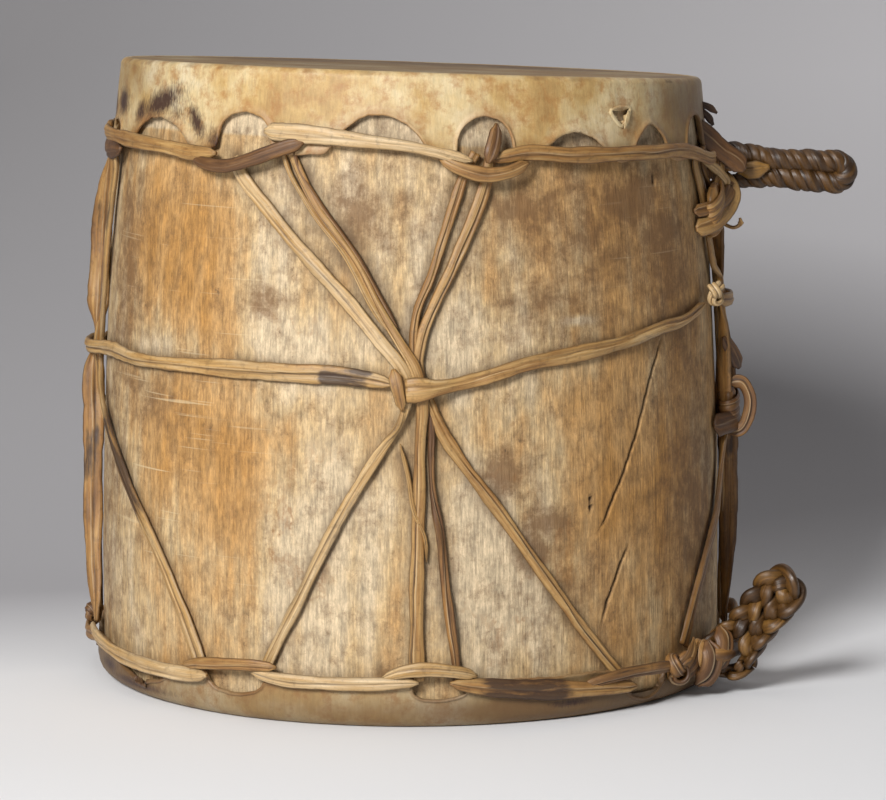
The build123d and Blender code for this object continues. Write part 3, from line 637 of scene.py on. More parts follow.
# Lacing. Each lace is one or more strips, as places and style. Those that the photo shows follow it, and the
# others are worked out from their ends
laceStyle = {"width": 4.5, "thick": 2.3, "lanes": (-1.9, -0.3, 0.5, 1.9), "startDrop": 27, "gather": 12,
             "footLevel": 20, "endLevel": 15.5}
frontLaces = {
    1: [([(-33.4, 194, 0.6, 1.1), (-31.6, 188.5, 0.3, 1.2), (-25.5, 176.4, 0.3, 1.2),
          (-19.8, 165, 0.3, 1.2), (-14.8, 155.2, 0.3, 1.2), (-9.8, 145.5, 0.4, 1.2),
          (-4.6, 133.4, 1.6, 1.1), (-1.0, 124.6, 2.6), (0.2, 119, 2.8), (-0.2, 112, 2.4, 0.9),
          (-1.8, 104, 1.2, 0.8, 60), (-3.4, 99.5, 0.8, 0.9, 20), (-9.8, 79, 0.3, 0.95),
          (-14.8, 60, 0.3, 0.95), (-19.8, 40, 0.3, 0.9), (-24.5, 22, 0.3, 0.9), (-25.8, 16.5, 0.6)],
         {"tint": 0.84, "stains": [(0.62, 0.78, 0.32)], "lapDepth": 0.35})],
    2: [([(-22.4, 199, 1.2, 0.7), (-21.6, 196.4, 0.4, 0.7), (-16.7, 179, 0.3, 0.68),
          (-13.0, 170, 0.3, 0.68), (-9.6, 161.5, 0.3, 0.68), (-5.4, 146.6, 0.4, 0.7), (-1.2, 133, 1.8, 0.8),
          (1.2, 125, 2.9, 0.9), (2.2, 118, 3.0, 0.95), (2.4, 111, 2.4), (2.2, 100, 0.6),
          (1.9, 80, 0.3, 1.05), (1.7, 60, 0.3, 1.15), (1.5, 40, 0.3, 1.1), (1.5, 22, 0.3, 1.15),
          (1.6, 17, 0.8)], {"tint": 0.62}),
        ([(-23.0, 197, 0.9, 0.4), (-22.4, 193, 0.3, 0.42), (-17.6, 178, 0.3, 0.42), (-10.6, 161, 0.3, 0.42),
          (-6.5, 146.6, 0.3, 0.42), (-3.4, 137, 0.8, 0.38)], {"tint": 0.72, "endTip": 6.0}),
        ([(-20.8, 197, 0.6, 0.38), (-20.2, 193, 0.3, 0.4), (-15.9, 180, 0.3, 0.4), (-8.8, 162, 0.3, 0.4),
          (-4.5, 147.6, 0.3, 0.4), (-1.6, 138, 0.8, 0.36)], {"tint": 0.30, "endTip": 6.0}),
        ([(-1.3, 98.6, 0.4, 0.36), (0.2, 86, 0.3, 0.38), (1.0, 76, 0.6, 0.36), (2.9, 66, 0.3, 0.34),
          (3.1, 58, 0.2, 0.3)],
         {"tint": 0.68, "startTip": 6.0, "endTip": 6.0})],
    3: [([(12.2, 197, 1.4, 0.8), (10.2, 190, 0.5, 0.8), (7.8, 178, 0.3, 0.8), (5.8, 166, 0.3, 0.75),
          (4.1, 156, 0.3, 0.75), (1.4, 142, 0.3, 0.75), (1.0, 132, 0.3, 0.7), (1.8, 123, 0.3, 0.7),
          (3.8, 110, 0.3, 0.55), (4.0, 95, 0.3, 0.55), (4.4, 80, 0.3, 0.6), (5.3, 69, 0.3, 0.85, 40),
          (6.4, 50, 0.3, 0.75), (7.4, 35, 0.3, 0.8, -30), (8.1, 22, 0.3, 0.7), (8.4, 16, 0.6, 0.7)],
         {"tint": [(0.0, 0.55), (0.44, 0.5), (0.5, 0.25), (0.7, 0.3), (1.0, 0.42)]})],
    4: [([(15.2, 197, 1.4), (13.8, 186, 0.5), (10.5, 170), (7.8, 158.6), (4.9, 147),
          (2.4, 134.5), (1.8, 124, 0.4), (3.4, 114, 0.4), (5.6, 103.4), (10, 90), (15, 76.4),
          (20, 62.5, 0.3, 0.95), (25, 48.6, 0.3, 0.95), (30, 35, 0.3, 0.95), (37.4, 17.6, 0.4),
          (39.4, 13, 1.2)],
         {"tint": 0.60})],
}
leftLaces = {
    3: [([(280, 195, 1.4), (278, 188, 0.6, 1.2, 20), (274.5, 178, 0.3, 1.5, 60), (272, 165, 0.3, 1.7, 78),
          (271.6, 150, 0.3, 1.7, 80), (272.2, 135, 0.3, 1.6, 75), (272, 124, 1.2, 1.2, 30),
          (272, 118, 1.2, 1.3, 40), (272, 111, 0.3, 1.8, 80), (272.8, 92, 0.3, 1.6, 80),
          (274, 70, 0.3, 1.5, 80), (275.5, 45, 0.3, 1.4, 70), (277, 26, 0.6, 1.2, 40), (277.4, 18, 1.2)],
         {"tint": 0.50, "stains": [(0.14, 0.26, 0.4), (0.6, 0.72, 0.4)]})],
    4: [([(285, 196, 2.4), (284, 188, 0.6, 1.3), (281.5, 175, 0.3, 1.4), (279.5, 160, 0.3, 1.4, 10),
          (277.8, 145, 0.3, 1.4), (276, 132, 0.4, 1.3), (274.8, 121, 0.4, 1.2), (276, 110, 0.3, 1.1),
          (282, 101, 0.3, 1.1), (290, 92, 0.3, 1.1), (300, 75, 0.3, 1.15), (310, 55, 0.3, 1.25),
          (315, 41, 0.3, 1.35), (320.5, 20, 0.4, 1.5), (321.5, 15.5, 1.2, 1.4)],
         {"tint": 0.70, "stains": [(0.08, 0.16, 0.35), (0.50, 0.74, 0.60)], "lapDepth": 0.4})],
}
rightLaces = {
    1: [([(69.6, 193.5, 1.0), (70, 189.5), (73, 178, 0.3, 1.1), (76, 164, 0.3, 1.2), (79, 151, 0.8, 1.2),
          (81.1, 146, 1.5, 1.2, 30), (81.1, 138, 2.7), (81.1, 127, 1.5, 1.3, 50), (81.4, 112, 0.5, 1.5, 60),
          (81.6, 98, 0.4, 1.5, 50), (80, 84, 0.3, 1.6, 20), (76, 65.3, 0.3, 1.5), (68, 49.5, 0.3, 1.35),
          (61.5, 33.5, 0.3, 1.35), (57.2, 18.6, 0.5, 1.3)],
         {"tint": [(0.0, 0.62), (0.55, 0.5), (0.7, 0.42), (1.0, 0.42)], "stains": [(0.36, 0.46, 0.35)]})],
    2: [([(76, 194, 1.0), (76.2, 189, 0.4), (79.5, 178, 0.4, 1.3, 30), (83.5, 160, 0.3, 1.5, 60),
          (83.5, 149, 1.0, 1.3, 40), (82.7, 138, 2.7), (84, 127, 1.0, 1.3, 50), (86.6, 112, 0.3, 1.7, 75),
          (87.4, 95, 0.3, 1.7, 78), (88.6, 75, 0.3, 1.6, 78), (88.6, 50, 0.3, 1.5, 74),
          (87.6, 28, 0.5, 1.2, 40), (86.6, 15.5, 1.2)],
         {"tint": 0.40, "stains": [(0.2, 0.3, 0.3), (0.55, 0.66, 0.4)]})],
}
bundles = {"right": (83.0, 138.0), "back": (177.0, 126.0), "left": (272.0, 120.0)}
laceEnds = {"right": [(70.0, 53.5), (76.0, 86.6), (105.0, 93.3), (110.3, 123.5)],
            "back": [(143.6, 138.5), (156.4, 176.6), (193.0, 183.4), (198.3, 217.5)],
            "left": [(235.6, 232.5), (248.4, 270.6), (281.0, 277.4), (286.3, 321.0)]}


def sideLace(side, number):  # from the upper rim through its place in the bundle to the lower rim
    middle, level = bundles[side]
    topAngle, lowAngle = laceEnds[side][number - 1]
    lane = middle + laceStyle["lanes"][number - 1]
    topLevel = log["height"] - laceStyle["startDrop"] - topDrop(topAngle)
    gather, footLevel = laceStyle["gather"], laceStyle["footLevel"]
    over, near = (2.7, 1.5) if number < 3 else (0.3, 0.3)  # two lie over the other two
    places = [(topAngle - 0.4, topLevel + 4, 1.0)]
    for share in (0, 0.25, 0.5, 0.75):
        places.append((topAngle + (lane - topAngle) * share,
                       topLevel + (level + gather - topLevel) * share))
    places += [(lane, level + gather - 1, near), (lane, level, over), (lane, level - gather + 1, near)]
    for share in (0.2, 0.4, 0.6, 0.8, 1):
        places.append((lane + (lowAngle - lane) * share,
                       level - gather + (footLevel - level + gather) * share))
    places.append((lowAngle, laceStyle["endLevel"], 1.2))
    return [(places, {"stains": [(0.3, 0.4, 0.2)]})]


laceLines = []
photoLaces = {"front": frontLaces, "right": rightLaces, "back": {}, "left": leftLaces}
for i, side in enumerate(photoLaces):
    for number in (1, 2, 3, 4):
        runs = photoLaces[side].get(number) or sideLace(side, number)
        strips = []
        for k, (places, style) in enumerate(runs):
            seed = 21 + 4 * i + number + 40 * k
            strips.append(layStrip(places, laceStyle["width"], laceStyle["thick"], seed, **style))
        laceLines += [strip["line"] for strip in strips]
        makeThong(f"{side}_thong_{number}", strips, f"{side}_lace_{number}")
print("laces laid")

# Waist straps, each over one bundle and on to the next; the front one has a leaf tucked over its blunt end
waistStyle = {"width": 5.2, "thick": 2.4}
waistRoutes = {
    "front_right": [(-0.3, 117.3, 5.4, 1.6), (2.0, 117.7, 5.8, 1.65), (4.2, 118.1, 4.9, 1.3),
                    (8.0, 119.0, 2.0, 0.95), (11, 120.0, 0.7, 0.9), (14, 121.2, 0.4, 0.9, 25), (20, 124.4),
                    (30, 127, 0.3, 1.05), (40, 129.5), (50, 132.8, 0.3, 0.85, 15), (60, 134.6, 0.3, 0.8),
                    (69.5, 138.6, 0.4, 0.8)],
    "right_back": [(74.0, 138.8, 3.4, 0.8), (77.5, 138.4, 5.2), (83.5, 138, 5.8), (88, 137.6, 4.6),
                   (93, 137, 1.6), (99, 136.2, 0.4), (110, 134.6), (122, 132.6), (134, 130.6), (146, 128.8),
                   (158, 127.2), (169, 126.4, 0.4), (174, 126.0, 0.9, 0.8)],
    "back_left": [(168.5, 126.8, 3.0, 0.8), (172.5, 126.2, 5.2), (177.5, 125.8, 5.8), (182, 125.4, 4.6),
                  (187.5, 125, 1.6), (193, 124.6, 0.4), (204, 123.6), (216, 122.4), (228, 121.4),
                  (240, 120.6), (252, 120.2), (263, 120, 0.4), (268, 119.8, 0.9, 0.8)],
    "left_front": [(262.5, 120.4, 3.0, 0.8), (267, 120.1, 5.2), (272.5, 120, 5.8), (277, 120.2, 4.6),
                   (282.5, 121, 1.4), (290, 122, 0.4), (300, 121.2), (310, 121.4, 0.3, 0.95),
                   (320, 122, 0.3, 1.05), (330, 122.2, 0.3, 1.2), (340, 121.8, 0.3, 1.3),
                   (350, 121.2, 0.4, 1.2), (355, 120.2, 1.2, 0.9), (358, 118.9, 2.0, 0.6)],
}
waistLooks = {"front_right": {"tint": 0.62, "endTip": 7.0, "lapDepth": 0.35},
              "left_front": {"tint": 0.74, "startTip": 5.0, "endTip": 5.0,
                             "stains": [(0.855, 0.955, 0.58)]}}
waistLines = []
for i, (name, route) in enumerate(waistRoutes.items()):
    style = waistLooks.get(name, {"tint": 0.6, "startTip": 5.0, "endTip": 7.0,
                                  "stains": [(0.5, 0.56, 0.35)]})
    strips = [layStrip(route, waistStyle["width"], waistStyle["thick"], 60 + i, **style)]
    if name == "front_right":
        leaf = [(-2.3, 124.5, 4.6, 0.9), (-1.9, 121, 6.0), (-1.3, 115, 6.2), (-0.9, 110.5, 4.6, 0.9)]
        strips.append(layStrip(leaf, 4.3, 1.5, 66, tint=0.58, startTip=3.0, endTip=3.0, lapDepth=0.2))
    waistLines += [strip["line"] for strip in strips]
    makeThong(f"{name}_waist_thong", strips, f"{name}_waist_strap")
print("waist straps laid")

# Rim straps: runs on the skin between the holes, and slings that hook under the laces of each hole.
# Each is places, tint, depth of the lapped edge and stains. The front ones come from the photo
rimStyle = {"width": 5.2, "thick": 2.5}
upperRuns = [
    ([(-89, 198.8, 3.2, 0.9), (-80, 198.5, 3.2), (-70, 198.2, 2.7), (-60, 197.5, 2.7), (-50, 196.7, 2.7),
      (-42, 195.4, 3.0), (-36.2, 195.6, 3.4, 0.7)], 0.56, 0.25, [(0.2, 0.3, 0.3)]),
    ([(-43, 193.6, 1.0, 0.7), (-38.5, 192.2, 4.2, 0.85), (-34, 191.6, 5.0, 0.9), (-28, 194.4, 5.2, 0.95),
      (-22.5, 198.2, 4.6, 0.9), (-18.5, 200.4, 3.0, 0.7)], 0.27, 0.2, []),
    ([(-26.2, 203.8, 2.9, 1.25), (-22, 203.6, 3.4, 1.35), (-15, 202.6, 3.2, 1.15), (-8, 201.2, 2.9, 0.9),
      (0, 199.4, 2.8, 0.75), (5, 197.2, 3.0, 0.85, 30), (9, 195.4, 3.4, 0.8), (11.4, 194.2, 3.6, 0.6)],
     0.95, 0.2, []),
    ([(5.6, 195.4, 2.4, 0.7), (8.5, 192.4, 4.6, 0.9), (13.6, 189.8, 5.2, 1.0), (18, 190.8, 5.0, 0.95),
      (21.5, 193.4, 3.6, 0.7)], 0.55, 0.35, [(0.1, 0.5, 0.2)]),
    ([(14.6, 194.6, 3.4, 0.6), (17.5, 195.6, 3.6, 0.95), (21, 196.6, 3.2, 1.05), (30, 195.4, 2.8, 1.05),
      (40, 195, 2.8, 1.0), (50, 194.8, 2.8, 1.0), (60, 194.4, 2.9, 1.0), (67, 192.4, 3.6, 1.0),
      (72.5, 190.2, 4.6, 0.95), (77, 190.6, 4.6, 0.8)], 0.52, 0.4, [(0.2, 0.36, 0.25)]),
    ([(267, 192.4, 2.3, 1.1), (275, 192.6, 2.5, 1.4), (283, 193, 2.5, 1.4), (291, 194, 2.3, 0.8)], 0.16,
     0.2, []),
    ([(14.0, 193.6, 5.4, 0.9), (14.6, 197.5, 5.8), (15.4, 202, 4.6), (16.0, 206.6, 3.0, 0.8)], 0.30, 0.3,
     []),
]


def hookRun(holes, level, sag):  # run of sling and strap round the unseen side
    runs = []
    for a in holes:
        runs.append(([(a - 10, level(a - 10), 2.8, 0.8), (a - 5, level(a - 5) - 0.6 * sag, 4.6),
                      (a, level(a) - sag, 5.2), (a + 5, level(a + 5) - 0.8 * sag, 5.0),
                      (a + 10, level(a + 10), 3.2, 0.75)],
                     None, 0.45, [(0.3, 0.6, 0.2)]))
    for a, b in zip(holes, holes[1:]):
        marks = enumerate(np.linspace(a + 5, b - 6, 6))
        places = [(mark, level(mark) + (0.6 if i % 2 else -0.4), 2.7) for i, mark in marks]
        runs.append((places, None, 0.45, []))
    return runs


def upperLevel(a):
    return log["height"] - 23.6 - topDrop(a)


def lowerLevel(a):
    return 14.6 + 0 * a


upperRuns += hookRun([108, 148, 196, 240], upperLevel, 5.5)
upperRuns.append(([(245, 199.6, 2.7), (255, 199.8, 2.7), (265, 199.2, 2.7), (273, 199.2, 2.8)],
                  0.6, 0.4, []))
upperRuns.append(([(84, 191.6, 2.8, 0.8), (90, 192.4, 2.7), (97, 192.8, 2.7), (103, 193, 3.0, 0.8)], 0.5,
                  0.4, []))
lowerRuns = [
    ([(-82, 16.2, 2.8), (-70, 15, 2.8), (-60, 13.7, 2.8), (-50, 13.3, 2.8, 1.1), (-42, 13.6, 3.0, 1.1),
      (-36, 14.6, 3.4, 0.7)], 0.82, 0.4, [(0.1, 0.2, 0.2)]),
    ([(-42, 16.2, 1.6, 0.6), (-38, 18.6, 4.2, 0.8), (-33, 19.8, 4.8, 0.85), (-27, 20.6, 4.6, 0.8),
      (-22.4, 20.4, 3.2, 0.6)], 0.55, 0.4, []),
    ([(-27, 17.8, 3.0, 0.7), (-22, 16.4, 3.2, 0.95), (-14, 15.9, 2.9, 0.85), (-6, 16.2, 2.8, 0.9),
      (1.8, 16.8, 3.4, 0.6)],
     0.92, 0.4, [(0.3, 0.5, 0.2)]),
    ([(-4.2, 18.2, 1.8, 0.6), (-1, 20.8, 4.4, 0.9), (3, 21.8, 4.8, 0.95), (7.5, 20.8, 4.6, 0.9),
      (11.4, 18.8, 3.0, 0.6)],
     0.80, 0.4, []),
    ([(7, 16.6, 3.2, 0.7), (11, 15.2, 3.2, 1.1), (18, 13.4, 2.8, 1.35), (26, 11.8, 2.8, 1.25),
      (34, 10.3, 2.8, 1.0), (42, 9.4, 3.2, 0.8)], 0.55, 0.4, [(0.14, 0.62, 0.62)]),
    ([(31, 12.0, 1.8, 0.6), (35, 13.8, 4.2, 0.8), (40, 14.8, 4.8, 0.85), (46, 14.4, 4.6, 0.8),
      (52, 13.2, 3.6, 0.7), (56, 12.4, 4.4, 0.6)], 0.35, 0.4, [(0.1, 0.5, 0.3)]),
    ([(66, 11.4, 2.9, 0.8), (73, 12, 2.8), (80, 12.8, 2.9), (85, 13.6, 3.2, 0.8)], 0.5, 0.4, []),
    ([(231, 14.8, 2.7), (244, 14.4, 2.7), (256, 14.8, 2.8), (266, 14.4, 3.0), (270, 14.2, 4.2),
      (274, 14, 4.4), (278, 14.2, 4.2), (282, 15.4, 3.0), (285, 16, 2.8, 0.8)], 0.5, 0.4, []),
]
lowerRuns += hookRun([90, 131, 180, 225], lowerLevel, -5.2)
for side, runs in (("upper", upperRuns), ("lower", lowerRuns)):
    strips = []
    for i, (route, tint, lapDepth, stains) in enumerate(runs):
        style = {"lapDepth": lapDepth, "stains": stains, "startTip": 3.0, "endTip": 3.0}
        if tint is not None:
            style["tint"] = tint
        strips.append(layStrip(route, rimStyle["width"], rimStyle["thick"], 105 + i, **style))
    laceLines += [strip["line"] for strip in strips]
    makeThong(f"{side}_rim_thong", strips, f"{side}_rim_strap")
print("rim straps laid")

# The log itself: an adzed, slightly swollen wall with two drying cracks
logStyle = {"cracks": [[(53, 130), (49, 116), (45, 98), (40, 80), (37, 69), (34.4, 62.5)],
                       [(42.4, 59), (40, 50.5), (37.6, 40), (35.6, 30)]],
            "pins": [(33.75, 76.6), (33.75, 73.6), (53, 186), (53, 185), (53, 184)], "crackHalf": 0.42,
            "crackDepth": 1.4, "rows": 214}
# Marks on the wood: angle, height, half width in degrees, half height, amount. Tone is honey above 0 and
# bleached below
toneMarks = [
    (-50, 172, 17, 32, 0.42), (-38, 150, 9, 34, 0.26), (-55, 126, 25, 6, -0.30), (-24, 162, 8, 34, -0.36),
    (-14, 184, 9, 16, -0.30), (-18, 132, 12, 13, -0.34), (3, 160, 5, 28, -0.30), (30, 176, 14, 22, 0.16),
    (44, 160, 12, 30, 0.26), (14, 136, 12, 11, -0.28), (-45, 92, 14, 30, 0.42), (-30, 84, 8, 26, 0.34),
    (-16, 58, 10, 40, -0.38), (-62, 46, 12, 26, -0.16), (10, 62, 9, 46, -0.36), (20, 38, 10, 22, -0.32),
    (40, 76, 11, 48, 0.44), (56, 64, 12, 50, 0.40), (60, 150, 12, 40, 0.30), (27, 108, 10, 14, 0.10),
    (32, 138.5, 3, 1.6, -0.7), (130, 120, 30, 60, 0.25), (200, 150, 25, 40, -0.3), (225, 70, 25, 40, 0.3),
    (160, 60, 20, 40, -0.25), (260, 150, 20, 50, -0.2)
]
brownMarks = [
    (-27, 146, 4, 7, 0.45), (-8, 178, 9, 14, 0.35), (35, 172, 20, 26, 0.30), (56, 160, 9, 30, 0.35),
    (26, 142, 12, 12, 0.25), (58, 90, 10, 50, 0.22), (68, 60, 10, 50, 0.3), (-52, 108, 8, 8, 0.35),
    (30, 45, 10, 16, 0.2), (-66, 150, 8, 50, 0.35), (-75, 60, 8, 50, 0.3), (17, 88, 4, 6, 0.6),
    (25, 70, 4, 5, 0.6), (46, 178, 5, 5, 0.4), (20, 178, 5, 6, 0.4), (22, 60, 4, 5, 0.6),
    (110, 100, 20, 70, 0.4), (170, 170, 20, 30, 0.4), (240, 120, 20, 60, 0.35)
]
dampMarks = [
    (-20, 62, 12, 42, 1.0), (20, 50, 14, 34, 1.0), (-20, 135, 8, 14, 0.7), (15, 100, 8, 20, 0.5),
    (150, 70, 30, 50, 0.8), (230, 60, 30, 50, 0.8)
]
wornMarks = [
    (-48, 150, 18, 44, 1.0), (-45, 75, 20, 34, 1.0), (50, 165, 14, 20, 0.4), (200, 100, 50, 60, 0.6)
]


def blobs(marks, angle, height):
    total = np.zeros(len(angle))
    for a, h, wide, tall, amount in marks:
        da = (angle - a + 180) % 360 - 180
        total += amount * np.exp(-((da / wide) ** 2 + ((height - h) / tall) ** 2))
    return total


def outerTop(angle):  # level of the log's upper end
    return logTop - topDrop(angle)


def buildShell():
    angles = np.concatenate([np.arange(-180, 32, 0.8), np.arange(32, 55, 0.22), np.arange(55, 179.6, 0.8)])
    columns = len(angles)
    bend, top = log["rimRound"], outerTop(angles)
    low, high = logFoot + bend, top - bend
    heights = low + (high - low) * np.linspace(0, 1, logStyle["rows"])[:, None]
    grid = onWall(np.broadcast_to(angles, heights.shape), heights, 0)
    flat = grid.reshape(-1, 3)
    angleAll = np.broadcast_to(angles, heights.shape).reshape(-1)
    heightAll = heights.reshape(-1)
    adze = rough(np.stack([flat[:, 0], flat[:, 1], flat[:, 2] * 0.5], -1), 26.0, 2.0, 2)
    furrow = rough(np.stack([flat[:, 0], flat[:, 1], flat[:, 2] * 0.06], -1), 2.6, 4.0, 2)
    sink = -0.22 + 0.40 * adze + 0.10 * furrow
    crack = np.zeros(len(flat))
    for line in logStyle["cracks"]:
        ang, hei = np.array(line, float).T
        order = np.argsort(hei)
        at = np.interp(heightAll, hei[order], ang[order])
        wander = 0.55 * rough(np.stack([0 * heightAll, 0 * heightAll, heightAll], -1), 7.0, 12.0, 3)
        off = np.abs(np.radians(angleAll - at) * middleRadius + wander)
        inside = smoothstep(hei.min() - 1, hei.min() + 12, heightAll)
        inside = inside * (1 - smoothstep(hei.max() - 6, hei.max() + 1, heightAll))
        half = logStyle["crackHalf"]
        crack = np.maximum(crack, inside * (1 - smoothstep(half * 0.6, half * 2.0, off)))
    for a, h in logStyle["pins"]:
        off = np.hypot(np.radians(angleAll - a) * middleRadius, heightAll - h)
        crack = np.maximum(crack, 1 - smoothstep(0.5, 1.1, off))
    sink = np.minimum(sink, 0.18) - logStyle["crackDepth"] * crack
    # darker beside the thongs and in patches just below the upper skin: grime with painted shade where the
    # thongs and the skin lie over the wood
    lines = np.concatenate(laceLines + waistLines)[::2]
    tree = kdtree.KDTree(len(lines))
    for i, p in enumerate(lines.tolist()):
        tree.insert(p, i)
    tree.balance()
    near = np.array([tree.find(p)[2] for p in flat.tolist()])
    grimeAndShade = 0.72 * np.clip(1 - (near - 2.4) / 4.2, 0, 1) ** 1.6
    grimeAndShade *= 0.75 + 0.5 * rough(flat, 9.0, 15.0)
    under = heightAll > outerTop(angleAll) - 22
    grimeAndShade = np.clip(grimeAndShade + 0.14 * under * smoothstep(-0.2, 0.4, rough(flat, 14.0, 16.0)), 0, 0.85)
    tone = 0.34 + blobs(toneMarks, angleAll, heightAll) + 0.12 * rough(flat, 40.0, 17.0) - 0.4 * under
    brown = blobs(brownMarks, angleAll, heightAll)
    damp = np.clip(blobs(dampMarks, angleAll, heightAll), 0, 1)
    worn = np.clip(blobs(wornMarks, angleAll, heightAll), 0, 1)
    outer = flat + radial(angleAll) * sink[:, None]
    # rims and inside wall, plain because the skins close both ends
    rings = []  # radius and level
    for turn in np.radians((30, 60, 90)):
        rings.append((wallRadius(high) - bend + bend * math.cos(turn), high + bend * math.sin(turn)))
    for share in (1.0, 0.75, 0.5, 0.25, 0.0):
        level = logFoot + (top - logFoot) * share
        rings.append((wallRadius(level) - log["wall"], level))
    for turn in np.radians((90, 60, 30)):
        radius = wallRadius(low) - bend + bend * math.cos(turn)
        rings.append((radius + 0 * angles, low - bend * math.sin(turn) + 0 * angles))
    extra = [radial(angles) * radius[:, None] + np.outer(level, upright) for radius, level in rings]
    verts = np.concatenate([outer] + extra)
    rowCount = len(heights) + len(extra)
    faces = gridFaces(rowCount, columns, True)
    last = (rowCount - 1) * columns
    faces += [(last + c, last + (c + 1) % columns, (c + 1) % columns, c) for c in range(columns)]
    pad = np.zeros(len(extra) * columns)
    layers = {"tone": tone, "brown": brown, "grimeAndShade": grimeAndShade, "crack": crack, "damp": damp, "worn": worn}
    layers = {key: np.append(values, pad) for key, values in layers.items()}
    return makePiece("log_wall", [{"verts": verts, "faces": faces, "layers": layers}], logWood, "drum",
                     ("shell",))


buildShell()
print("log turned")


# Windings: a thong wound round an oval core
def windStrip(centre, axis, wide, halfWide, halfThick, turns, pitch, width, thick, seed, **style):
    axis, wide = unit(np.asarray(axis, float)), unit(np.asarray(wide, float))
    deep = np.cross(axis, wide)
    t = np.linspace(0, turns * 2 * np.pi, int(turns * 40))
    offset = (np.cos(t) * halfWide)[:, None] * wide + (np.sin(t) * halfThick)[:, None] * deep
    rise = ((t / (2 * np.pi) - turns / 2) * pitch)[:, None] * axis
    outs = (np.cos(t) / halfWide)[:, None] * wide + (np.sin(t) / halfThick)[:, None] * deep
    style.setdefault("grooves", 2)
    return sweepStrip(np.asarray(centre) + offset + rise, unit(outs), width, thick, 0.0, seed, style)


# Strands round a closed loop: twisted together, or plaited flat. Slim is the share of size near the hanger
def ropeLoop(centres, axis, style, slim, seed):
    closed = np.concatenate([centres[-1:], centres, centres[:1]])
    axis = np.broadcast_to(axis, centres.shape)
    inward = unit(np.cross(axis, unit(closed[2:] - closed[:-2])))
    share = np.linspace(0, 1, len(centres), endpoint=False)
    order = np.append(np.arange(len(centres)), 0)
    width, thick = style["strand"]
    strips = []
    for i in range(style["strands"]):
        phase = 2 * np.pi * (style["turns"] * share + i / style["strands"])
        if style["strands"] == 2:
            outs = inward * np.cos(phase)[:, None] + axis * np.sin(phase)[:, None]
            line = centres + outs * (style["offset"] * slim)[:, None]
        else:
            outs = unit(axis + inward * (0.8 * np.sin(phase))[:, None])
            aside = (style["offset"] * slim * np.sin(phase))[:, None]
            line = centres + inward * aside + axis * (0.62 * thick * np.sin(2 * phase))[:, None]
        look = {"uneven": 0.22, "lapDepth": 0.25, "tint": style["tint"] + 0.12 * (i - 0.5)}
        strips.append(sweepStrip(line[order], outs[order], (width * slim)[order], (thick * slim)[order],
                                 0.0, seed + i, look))
    return strips


# A strip whose middle runs through given points, in millimetres
def freeStrip(points, outs, width, thick, seed, **style):
    points = np.asarray(points, float)
    marks = distances(points)
    at = np.linspace(0, marks[-1], max(8, int(marks[-1] / 0.8)))
    line = bendThrough(marks, points, at)
    facing = unit(bendThrough(marks, np.broadcast_to(outs, points.shape), at))
    return sweepStrip(line, facing, width, thick, 0.0, seed, style)


def wallStrip(places, outs, width, thick, seed, **style):  # the same, through angle, height and lift
    return freeStrip([onWall(*place) for place in places], outs, width, thick, seed, **style)


